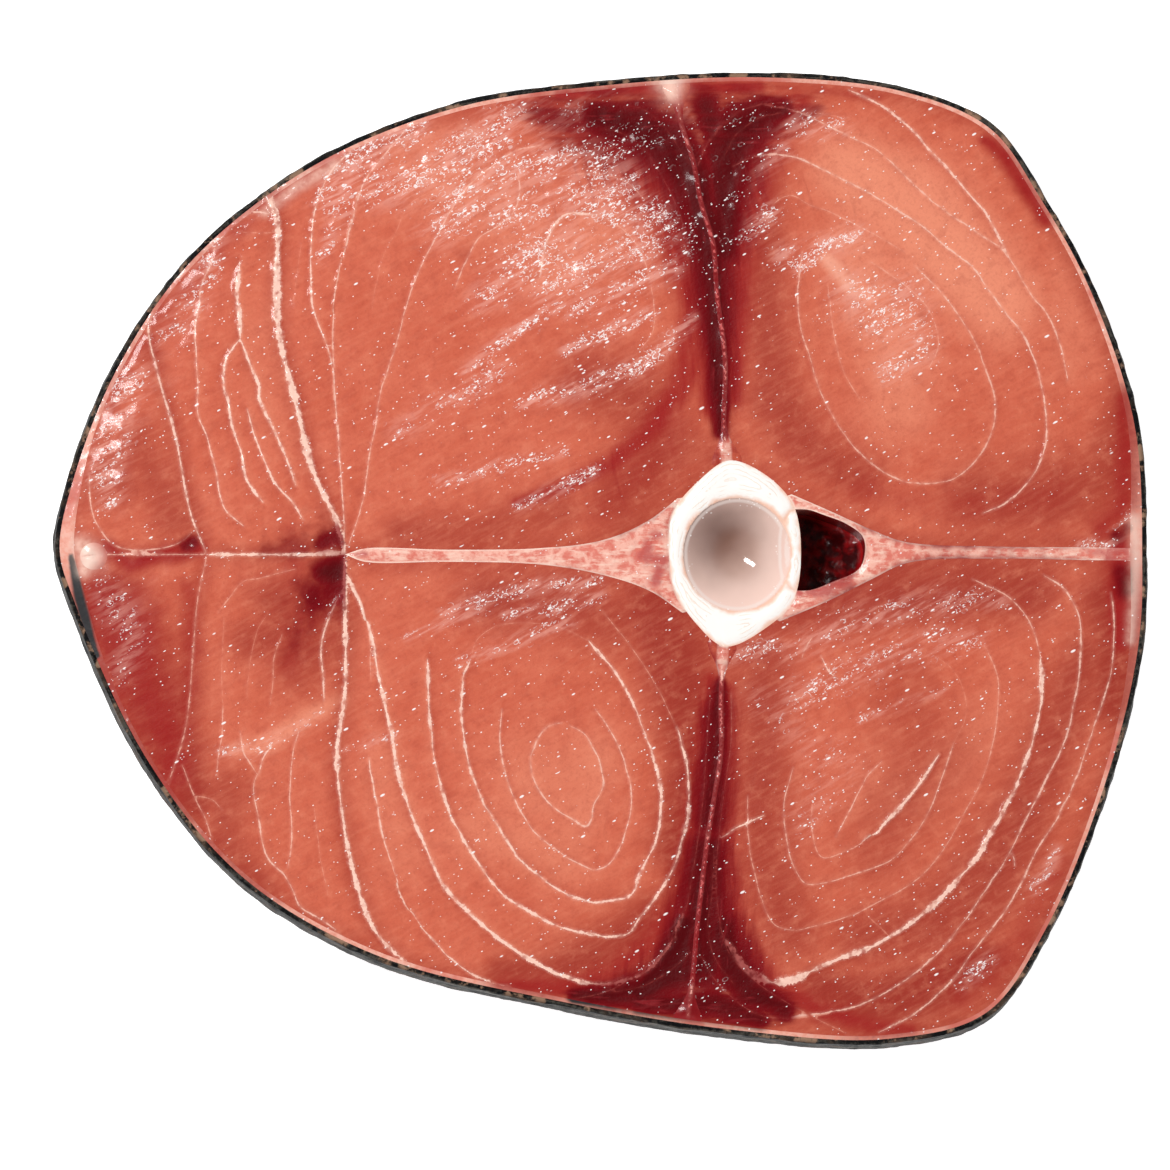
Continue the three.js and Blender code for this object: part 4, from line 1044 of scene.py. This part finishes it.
class Shader:
    """A material whose nodes are made and joined by short calls."""

    def __init__(self, name):
        self.material = bpy.data.materials.new(name)
        self.material.use_nodes = True
        self.tree = self.material.node_tree
        self.tree.nodes.clear()
        self.place = self.node("ShaderNodeTexCoord").outputs["Object"]

    def node(self, kind, values=(), **settings):
        made = self.tree.nodes.new(kind)
        for key, value in settings.items():
            setattr(made, key, value)
        for key, value in dict(values).items():
            self.put(made.inputs[key], value)
        return made

    def put(self, socket, value):
        if isinstance(value, bpy.types.NodeSocket):
            self.tree.links.new(value, socket)
        else:
            socket.default_value = value

    def math(self, operation, a, b=0.0, c=0.0):
        return self.node("ShaderNodeMath", {0: a, 1: b, 2: c}, operation=operation).outputs[0]

    def times(self, a, b):
        return self.math("MULTIPLY", a, b)

    def plus(self, a, b):
        return self.math("ADD", a, b)

    def minus(self, a, b):
        return self.math("SUBTRACT", a, b)

    def scaled(self, value, by, plus):
        return self.math("MULTIPLY_ADD", value, by, plus)

    def most(self, a, b):
        return self.math("MAXIMUM", a, b)

    def mix(self, share, a, b):
        made = self.node("ShaderNodeMix", data_type="RGBA")
        self.put(made.inputs[0], share)
        self.put(made.inputs[6], a)
        self.put(made.inputs[7], b)
        return made.outputs[2]

    def ramp(self, value, low, high, to_low=0.0, to_high=1.0):
        """An even rise from one value to another."""
        made = self.node(
            "ShaderNodeMapRange",
            {0: value, 1: low, 2: high, 3: to_low, 4: to_high},
            interpolation_type="SMOOTHSTEP",
        )
        return made.outputs[0]

    def tinted(self, colour, *steps):
        """Lays tones over a colour, each between two levels of a value and up to a share."""
        for tone, value, low, high, share in steps:
            colour = self.mix(self.ramp(value, low, high, 0, share), colour, tone)
        return colour

    def moved(self, scale, turn=0.0):
        """Object places, turned about Z and then stretched."""
        turned = self.node("ShaderNodeMapping", {0: self.place, 2: (0, 0, turn)}).outputs[0]
        return self.node("ShaderNodeMapping", {0: turned, 3: scale}).outputs[0]

    def noise(self, size, detail=2.0, where=None, rough=0.5, twist=0.0):
        """Noise from 0 to 1 with bumps of a size in millimetres."""
        values = {"Vector": where or self.place, "Scale": 1000 / size, "Detail": detail, "Roughness": rough}
        values["Distortion"] = twist
        return self.node("ShaderNodeTexNoise", values).outputs[0]

    def join(self, x, y, z=0.0):
        return self.node("ShaderNodeCombineXYZ", {0: x, 1: y, 2: z}).outputs[0]

    def apart(self, vector):
        return self.node("ShaderNodeSeparateXYZ", {0: vector}).outputs

    def attribute(self, name):
        made = self.node("ShaderNodeAttribute", attribute_name=name)
        parts = self.node("ShaderNodeSeparateColor", {0: made.outputs["Color"]}).outputs
        return parts[0], parts[1], parts[2], made.outputs["Alpha"]

    def finish(self, colour, rough, specular=0.5, coat=0.0, coat_rough=0.03, bump=None, strength=0, depth=0):
        """Ends the material. A bump's depth is in metres, at full strength."""
        surface = self.node("ShaderNodeBsdfPrincipled", {
            "Base Color": colour, "Roughness": rough, "Specular IOR Level": specular,
            "Coat Weight": coat, "Coat Roughness": coat_rough,
        })
        if bump is not None:
            made = self.node("ShaderNodeBump", {"Height": bump, "Strength": strength, "Distance": depth})
            self.put(surface.inputs["Normal"], made.outputs[0])
        out = self.node("ShaderNodeOutputMaterial")
        self.tree.links.new(surface.outputs[0], out.inputs[0])
        return surface


def grains_of(s, size, stretch):
    """Cells of a size in millimetres, drawn out along the saw's way: distance to the middle, two chances."""
    scale = 1000 / size
    places = s.moved((scale / stretch, scale, scale), SLANT)
    cells = s.node("ShaderNodeTexVoronoi", {"Vector": places, "Scale": 1.0}).outputs
    chances = s.node("ShaderNodeSeparateColor", {0: cells["Color"]}).outputs
    return cells["Distance"], chances[0], chances[1]


def glint_grains(s, size, stretch, amount):
    """Painted highlights: grains that shine, each with its own reach."""
    middle, chance, kind = grains_of(s, size, stretch)
    shine = s.ramp(s.math("DIVIDE", middle, s.scaled(kind, 0.26, 0.14)), 1.0, 0.55)
    return s.times(shine, s.math("LESS_THAN", chance, amount))


def rings(s, amount, dark):
    """Rings of light round some grains, broken into arcs and fainter on dark muscle."""
    middle, chance, kind = grains_of(s, 1.5, 1.7)
    gap = s.math("ABSOLUTE", s.minus(middle, s.scaled(kind, 0.22, 0.24)))
    arcs = s.times(s.ramp(gap, 0.085, 0.03), s.ramp(s.noise(0.8, 1), 0.46, 0.56))
    arcs = s.times(arcs, s.math("LESS_THAN", chance, s.times(amount, 1.3)))
    return s.times(arcs, s.ramp(dark, 0.0, 0.5, 1.0, 0.25))


def crinkles(s, amount):
    """Painted highlights: fine curving lines of light, as on a wet, crumpled sheet."""
    level = s.noise(1.5, 2, s.moved((0.6, 1, 1), SLANT), 0.55)
    lines = s.ramp(s.math("ABSOLUTE", s.minus(level, 0.5)), 0.022, 0.008)
    lines = s.times(lines, s.ramp(s.noise(1.6, 2), 0.45, 0.55))
    return s.times(lines, s.ramp(amount, 0.3, 0.6))


def glints(s, wet, dark):
    """Where the wet surface sparkles: specks, strokes, rings and crinkles of light, in slanting bands."""
    band = s.ramp(s.noise(3, 3, s.moved((0.22, 1, 1), SLANT)), 0.43, 0.6)
    amount = s.times(wet, s.scaled(band, 0.8, 0.2))
    amount = s.times(amount, s.ramp(dark, 0.0, 0.8, 1.0, 0.35))
    amount = s.scaled(band, 0.1, s.plus(amount, 0.02))
    specks = glint_grains(s, 0.5, 1.6, s.scaled(amount, 0.9, 0.01))
    strokes = glint_grains(s, 0.9, 2.4, s.scaled(amount, 0.85, -0.03))
    broad = s.most(crinkles(s, amount), s.times(rings(s, amount, dark), wet))
    return s.most(broad, s.most(specks, strokes))


def white_line(s, away, half, white):
    """How strongly the nearest white line shows, with its frayed edge, its beads and its soft halo."""
    fray = s.times(s.minus(s.noise(0.8, 3, rough=0.75), 0.5), s.scaled(half, 2.0, 0.3))
    gap = s.minus(s.plus(away, fray), half)
    beads = s.ramp(s.plus(s.noise(2.0, 2), s.times(white, 0.15)), 0.42, 0.66, 0.25, 1.0)
    beads = s.times(beads, s.ramp(white, 0.0, 0.8, 0.15, 1.0))
    line = s.times(s.ramp(gap, 0.1, -0.05), beads)
    halo = s.times(s.ramp(gap, 0.7, 0.0), s.times(white, 0.2))
    return s.most(halo, line)


def blood_stains(s, colour, dark, red, from_flank):
    """Blood from red to nearly black, in strands along the flank membranes and in clouds elsewhere, with a
    painted sheen on its darkest strands.
    """
    across = s.apart(s.place)[1]
    strands = s.noise(1000, 4, s.join(s.times(from_flank, 0.45), s.times(across, 70.0)), 0.6, 0.5)
    at_rim = s.ramp(s.math("ABSOLUTE", s.plus(across, 0.001)), 0.098, 0.108)
    strands = s.mix(at_rim, strands, s.noise(1.8, 3, s.moved((0.2, 1, 1))))
    ragged = s.minus(s.mix(s.ramp(from_flank, 40, 50), strands, s.noise(5, 3)), 0.5)
    shade = s.scaled(ragged, 0.7, dark)
    colour = s.tinted(
        colour,
        (BLOOD, s.scaled(ragged, 0.5, red), 0.0, 1.1, 1),
        (MAROON, shade, 0.05, 0.65, 1),
        (BLACK_RED, shade, 0.5, 1.1, 1),
    )
    # Painted sheen: a red-pink shine along some strands of the dark blood.
    return s.mix(s.times(s.ramp(strands, 0.58, 0.75), s.times(dark, 0.5)), colour, SHEEN)


def flesh_material(s):
    dark, red, deep, light = s.attribute("tint")
    away, half, white, edge = s.attribute("line")
    wet, pale, tilt_light_and_shade, from_flank = s.attribute("wet_sheen")
    drift = s.minus(s.noise(13, 4), 0.5)
    mottle = s.noise(4, 3, rough=0.6)
    grain = s.noise(0.8, 3, rough=0.7)
    fibres = s.noise(1.3, 3, s.moved((0.18, 1, 1), SLANT), 0.6)

    def patch(value, spread):
        return s.ramp(s.plus(value, s.times(drift, spread)), 0.0, 1.0)

    colour = s.mix(patch(0.4, 1.2), FLESH, FLESH_WARM)
    colour = s.mix(patch(light, 0.25), colour, FLESH_LIGHT)
    # Painted light and shade either side of each white line, and darker towards each piece's edges.
    colour = s.tinted(
        colour,
        (FLESH_LIGHT, tilt_light_and_shade, 0.5, 1.0, 0.5),
        (FLESH_DEEP, tilt_light_and_shade, 0.5, 0.0, 0.55),
        (FLESH_DEEP, edge, 5.0, 0.0, 0.45),
    )
    colour = s.mix(patch(deep, 0.35), colour, FLESH_DEEP)
    colour = s.tinted(
        colour,
        (FLESH_LIGHT, mottle, 0.5, 0.75, 0.25),
        (FLESH_DEEP, mottle, 0.5, 0.3, 0.2),
        (FLESH_LIGHT, fibres, 0.4, 0.75, 0.18),
        (FLESH_DEEP, grain, 0.45, 0.8, 0.25),
    )
    colour = blood_stains(s, colour, dark, red, from_flank)
    line_colour = s.mix(s.ramp(white, 0.25, 0.65), LINE_DIM, LINE)
    line_colour = s.tinted(line_colour, (LINE_DARK, dark, 0.1, 0.6, 0.9))
    colour = s.mix(white_line(s, away, half, white), colour, line_colour)
    # Painted sheen: a pale pink shine in the wet bands, kept off the dark blood.
    wet_sheen = s.times(wet, s.ramp(fibres, 0.42, 0.62, 0.06, 0.52))
    colour = s.mix(s.times(wet_sheen, s.ramp(dark, 0.0, 0.7, 1.0, 0.0)), colour, PAINTED_SHEEN)
    colour = s.mix(s.times(pale, s.ramp(mottle, 0.35, 0.6, 0.5, 1)), colour, LINE)
    colour = s.mix(s.times(glints(s, wet, dark), 0.92), colour, GLINT)
    s.finish(colour, 0.4, 0.08, 0.25, 0.1, s.scaled(fibres, 0.8, grain), 0.6, 0.00025)


def membrane_material(s):
    dark, red, _, _ = s.attribute("tint")
    away, half, white, edge = s.attribute("line")
    _, pale, _, from_flank = s.attribute("wet_sheen")
    fibres = s.noise(1.2, 4, s.moved((0.25, 1, 1)), 0.65)
    mottle = s.noise(2.6, 4, rough=0.65)
    colour = s.mix(s.ramp(mottle, 0.38, 0.62), linear(222, 122, 106), linear(246, 186, 168))
    stained = s.scaled(s.minus(mottle, 0.5), 2.0, red)
    colour = s.tinted(
        colour,
        (linear(252, 212, 194), fibres, 0.48, 0.66, 0.75),
        (linear(254, 226, 210), s.scaled(mottle, 0.8, edge), 0.95, 0.4, 0.85),
        (linear(178, 50, 52), stained, 0.1, 1.0, 0.8),
    )
    near_flank = s.ramp(from_flank, 4.6, 3.8)

    def on_flank(colour, share, tone):
        return s.mix(s.times(near_flank, share), colour, tone)

    foot = s.ramp(s.scaled(mottle, 1.0, from_flank), 1.5, 2.3)
    colour = on_flank(colour, foot, s.mix(s.ramp(mottle, 0.3, 0.7), FLESH_DEEP, FLESH))
    colour = on_flank(colour, s.ramp(dark, 0.0, 0.4, 0.2, 1.0), BLOOD)
    colour = on_flank(colour, s.ramp(dark, 0.1, 0.8, 0, 0.9), MAROON)
    line_colour = s.mix(s.ramp(dark, 0.3, 1.0), linear(244, 186, 170), linear(206, 92, 90))
    colour = on_flank(colour, white_line(s, away, half, white), line_colour)
    height = s.times(s.apart(s.place)[2], 1000)
    wall = s.times(s.ramp(height, THICKNESS + 0.1, THICKNESS - 0.6), s.ramp(height, 1, 2))
    colour = s.mix(wall, colour, linear(140, 12, 20))
    colour = s.mix(pale, colour, LINE)
    # Painted glints on the membrane.
    colour = s.mix(s.times(glint_grains(s, 0.6, 1.3, 0.06), 0.9), colour, GLINT)
    s.finish(colour, 0.4, 0.15, 0.3, 0.12, s.plus(fibres, mottle), 0.7, 0.0004)


def bone_material(s):
    edge = s.attribute("line")[3]
    bumps = s.noise(2.5, 3, twist=0.6)
    drift = s.noise(6, 3)
    margin = s.ramp(s.scaled(drift, 4.0, edge), 1.6, 3.2)
    colour = s.mix(margin, linear(244, 196, 172), linear(255, 251, 246))
    layer = s.math("SINE", s.scaled(edge, 6.0, s.times(drift, 14.0)))
    layer = s.times(s.ramp(layer, 0.6, 1.0), s.ramp(drift, 0.48, 0.6, 0, 0.5))
    colour = s.mix(layer, colour, linear(240, 204, 176))
    s.finish(colour, 0.35, coat=0.3, coat_rough=0.1, bump=s.plus(bumps, layer), strength=0.35, depth=0.0004)


def jelly_material(s):
    shift = (*((4.5, -5.5) - CENTRE) / 1000, 0)  # moves the darkest spot of the gel's painted shade onto 0
    x, y, _ = s.apart(s.node("ShaderNodeMapping", {0: s.place, 1: shift}).outputs[0])
    away = s.times(s.math("SQRT", s.plus(s.times(x, x), s.times(y, y))), 1000)
    # Darker in the deep middle of the brownish gel, and painted shade: the darkest spot sits off the middle
    # towards the back and the left flank, where the key light leaves the bowl's inner wall in shade.
    colour = s.mix(
        s.ramp(s.scaled(s.noise(9, 2), 5.0, away), 2.0, 23.0), linear(116, 76, 62), linear(240, 204, 190),
    )
    edge = s.attribute("line")[3]
    # A pale ring just inside the rim: partly the thin gel's paler colour, partly a painted rim highlight.
    ring = s.times(s.ramp(edge, 1.5, 0.9), s.ramp(edge, 0.2, 0.7))
    colour = s.mix(s.times(ring, 0.5), colour, linear(240, 228, 222))
    # Painted glints near the rim of the gel.
    painted_rim_glint = s.times(glint_grains(s, 0.8, 1.0, 0.25), s.ramp(edge, 3.0, 1.0))
    colour = s.mix(s.times(painted_rim_glint, 0.7), colour, GLINT)
    s.finish(colour, 0.08, coat=0.5)


def fat_material(s):
    dark, red, deep, _ = s.attribute("tint")
    pale = s.attribute("wet_sheen")[1]
    grain = s.noise(1.6, 4, rough=0.65)
    colour = s.mix(s.ramp(grain, 0.3, 0.75), linear(228, 146, 126), linear(244, 190, 172))
    colour = s.tinted(
        colour,
        (linear(204, 92, 80), s.noise(14, 3), 0.45, 0.65, 0.75),
        (FLESH_DEEP, s.plus(deep, grain), 0.5, 1.3, 0.85),
    )
    colour = s.mix(s.times(red, 0.8), colour, BLOOD)
    colour = s.mix(s.ramp(dark, 0.15, 0.6), colour, linear(46, 44, 46))
    colour = s.mix(pale, colour, linear(250, 220, 204))
    # Painted glints on the fat.
    colour = s.mix(s.times(glint_grains(s, 0.9, 1.2, 0.06), 0.8), colour, GLINT)
    s.finish(colour, 0.4, 0.2, 0.4, 0.12, grain, 0.5, 0.0003)


def clot_material(s):
    edge = s.attribute("line")[3]
    grain = s.noise(3, 4)
    colour = s.mix(s.ramp(grain, 0.4, 0.7), linear(70, 2, 6), linear(170, 16, 22))
    colour = s.mix(s.ramp(s.scaled(grain, 1.5, edge), 2.2, 0.8), colour, linear(200, 24, 30))
    s.finish(colour, 0.25, 0.1, 0.3, 0.05, grain, 0.6, 0.0006)


def skin_material(s):
    scales, level, _, _ = s.attribute("scale")
    fine = s.noise(0.8, 4, rough=0.65)
    streaks = s.noise(1.6, 4, s.moved((1, 1, 0.3)), 0.65)
    tone = s.scaled(s.minus(fine, 0.5), 0.8, scales)
    tone = s.scaled(s.minus(streaks, 0.5), 1.4, tone)
    colour = s.mix(s.ramp(tone, 0.4, 0.95), linear(8, 8, 10), linear(72, 68, 62))
    colour = s.tinted(colour, (linear(88, 68, 54), s.noise(7, 3), 0.52, 0.7, 0.5))
    torn = s.ramp(s.noise(5, 4, rough=0.65), 0.53, 0.63, 0, 0.7)
    colour = s.mix(s.times(s.ramp(level, 0.12, 0.0), torn), colour, linear(176, 138, 112))
    s.finish(colour, 0.5, 0.08, bump=tone, strength=0.6, depth=0.0004)


def floor_material(s):
    colour = s.mix(s.ramp(s.noise(40, 2), 0.3, 0.7, 0, 0.2), linear(250, 250, 250), linear(246, 246, 247))
    surface = s.finish(colour, 0.8)
    surface.inputs["Emission Color"].default_value = WHITE
    surface.inputs["Emission Strength"].default_value = 0.7


materials = {}
for name, paint in {
    "flesh": flesh_material,
    "crest_flesh": flesh_material,
    "dark_muscle": flesh_material,
    "membrane": membrane_material,
    "bone": bone_material,
    "jelly": jelly_material,
    "fat": fat_material,
    "clot": clot_material,
    "skin": skin_material,
    "floor": floor_material,
}.items():
    shader = Shader(name)
    paint(shader)
    materials[name] = shader.material
slots = {entry["node"]: entry["material_slot"] for entry in frame["record"]["subparts"]}

# ---- The pieces ----
top = THICKNESS + lift
base = 0.12 * (1 + noise(sheet, 5, 11)) * smooth(edge_away / 2)
raised = np.full(len(sheet), float(LIFT))
from_axis = np.hypot(sheet[:, 0], sheet[:, 1] / JELLY_OVAL) / JELLY_RADIUS
bone_top = THICKNESS + BONE_RISE
cup_rim = bone_top - JELLY_DROP
cup_floor = bone_top - CUP_DEPTH
in_cup = within("backboneJelly")
climb = np.clip((from_axis * JELLY_RADIUS - CUP_FLOOR) / (JELLY_RADIUS - CUP_FLOOR), 0, 1) ** 2
cup = cup_floor + (cup_rim - SEAM_GAP - cup_floor) * climb
gel = cup_rim - JELLY_SAG * (1 - np.clip(from_axis, 0, 1) ** 2)
WALL = (0.96, 0.8, 0.55, 0.3, 0.03)
FINE_WALL = tuple(np.linspace(0.98, 0.02, 20))
WALL_ROWS = 36  # of vertices down the skin's wall


def triangles_of(*which):
    return triangles[np.isin(owner, [names.index(name) for name in which])]


for name in names:
    slot = slots[name]
    chosen = triangles_of(name)
    if name == "backboneBone":
        chosen = triangles_of("backboneBone", "backboneJelly")
        hollow = in_cup & (from_axis < 0.999)
        piece = prism(name, chosen, np.where(hollow, cup, top), base, FINE_WALL, materials[slot], in_cup)
    elif name == "backboneJelly":
        piece = prism(name, chosen, gel, cup + 0.02, (0.5,), materials[slot], in_cup)
    elif name == "canalClot":
        blood = CLOT_HEIGHT + 0.8 * noise(sheet, 4, 12)
        piece = prism(name, chosen, blood, raised, (0.5,), materials[slot])
    elif name in ("fatLayer", "finLigament"):
        piece = prism(name, chosen, top, raised, WALL, materials[slot])
    else:
        levels = FINE_WALL if name == "bellyMembrane" else WALL
        piece = prism(name, chosen, top, base, levels, materials[slot])


def skin_piece():
    """The skin, with its embedded scales as ridges down its wall."""
    tree = kd(sheet)
    count = len(skin_outer)
    z_in = top[[tree.find((x, y, 0))[1] for x, y in skin_inner]]
    outward = skin_outer - skin_inner
    outward /= np.hypot(*outward.T)[:, None]
    rows = [(skin_inner, z_in)]
    for share in (0.35, 0.7, 0.92):
        xy = skin_inner + (skin_outer - skin_inner) * share
        rows.append((xy, z_in + 0.1 - 0.35 * share**3 + 0.15 * noise(xy, 2, 21)))
    along = np.arange(count) * STEP
    for z in np.linspace(THICKNESS - 1, LIFT + 0.4, WALL_ROWS):
        spot = np.column_stack([along, np.full(count, z)])
        ridge = noise(spot / (3, 1), 0.9, 22) * 0.2 + noise(spot / (4, 1), 2.5, 23) * 0.25
        rows.append((skin_outer + outward * ridge[:, None], np.full(count, z)))
    rows.append((skin_outer - outward * 0.4, np.full(count, float(LIFT))))
    for z in (LIFT, 10, 20, 30):
        rows.append((skin_inner, np.full(count, float(z))))
    places = np.vstack([placed(settle(xy, z), z) for xy, z in rows])
    spots = np.vstack([np.column_stack([along, 1.6 * k + z / 2]) for k, (xy, z) in enumerate(rows)])
    scales = 0.5 + 0.3 * noise(spots / (6, 1), 1.2, 24) + 0.25 * noise(spots / (5, 1), 3, 25)
    level = np.repeat(np.arange(len(rows)) / len(rows), count)
    facts = {"scale": np.column_stack([scales, level, level, np.ones(len(level))])}
    faces, uvs = [], []
    here = np.arange(count)
    after = (here + 1) % count
    for k in range(len(rows)):
        a, b = k * count, (k + 1) % len(rows) * count
        faces.append(np.column_stack([b + here, b + after, a + after, a + here]))
        left, right = here / count, (here + 1) / count
        high, low = np.full(count, k / len(rows)), np.full(count, (k + 1) / len(rows))
        corners = ((left, low), (right, low), (right, high), (left, high))
        uvs.append(np.stack([np.column_stack(corner) for corner in corners], axis=1))
    piece = mesh_object("skin", places, np.vstack(faces), np.concatenate(uvs), facts, materials["skin"])
    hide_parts("skin")


skin_piece()

# ---- Floor, light and camera ----
VIEW = 0.2925  # side of the square that the camera sees at the upper face, in metres
VIEW_MIDDLE = (585, 585)  # of that square, in grid steps
VIEW_CENTRE = plan([VIEW_MIDDLE])[0] + CENTRE  # in millimetres
SENSOR = 36
FLOOR_REACH = 6
CAMERA_HEIGHT = 2.4


def floor_piece():
    mesh = bpy.data.meshes.new("floor")
    corners = [(x * FLOOR_REACH, y * FLOOR_REACH, 0) for x, y in ((-1, -1), (1, -1), (1, 1), (-1, 1))]
    mesh.from_pydata(corners, [], [(0, 1, 2, 3)])
    floor = bpy.data.objects.new("floor", mesh)
    bpy.context.scene.collection.objects.link(floor)
    mesh.materials.append(materials["floor"])


def light(name, place, size, roll, power):
    data = bpy.data.lights.new(name, "AREA")
    data.shape = "RECTANGLE"
    data.size, data.size_y = size
    data.energy = power
    lamp = bpy.data.objects.new(name, data)
    lamp.location = place
    lamp.rotation_euler = Vector(place).to_track_quat("Z", "Y").to_euler()
    lamp.rotation_euler.rotate_axis("Z", math.radians(roll))
    bpy.context.scene.collection.objects.link(lamp)


def studio(overhead, around):
    """Soft light from all sides, with its own strength overhead."""
    world = bpy.data.worlds.new("studio")
    world.use_nodes = True
    tree = world.node_tree
    tree.nodes["Background"].inputs[0].default_value = WHITE
    place = tree.nodes.new("ShaderNodeTexCoord")
    height = tree.nodes.new("ShaderNodeSeparateXYZ")
    fade = tree.nodes.new("ShaderNodeMapRange")
    fade.interpolation_type = "SMOOTHSTEP"
    steep, flat = 0.92, 0.6  # sines of the heights between which the strength changes
    for socket, value in zip(list(fade.inputs)[1:5], (steep, flat, overhead, around)):
        socket.default_value = value
    tree.links.new(place.outputs["Generated"], height.inputs[0])
    tree.links.new(height.outputs[2], fade.inputs[0])
    tree.links.new(fade.outputs[0], tree.nodes["Background"].inputs[1])
    return world


floor_piece()
light("key", place=(-0.75, 0.45, 1.9), size=(0.7, 0.2), roll=90, power=20)
scene = bpy.context.scene
scene.world = studio(overhead=0.06, around=1.12)  # little overhead, so that wet faces keep their colour
scene.view_settings.view_transform = "Standard"

camera_data = bpy.data.cameras.new("camera")
camera_data.sensor_width = SENSOR
camera_data.lens = SENSOR * (CAMERA_HEIGHT - THICKNESS / 1000) / VIEW
camera = bpy.data.objects.new("camera", camera_data)
camera.location = (*VIEW_CENTRE / 1000, CAMERA_HEIGHT)
scene.collection.objects.link(camera)
scene.camera = camera
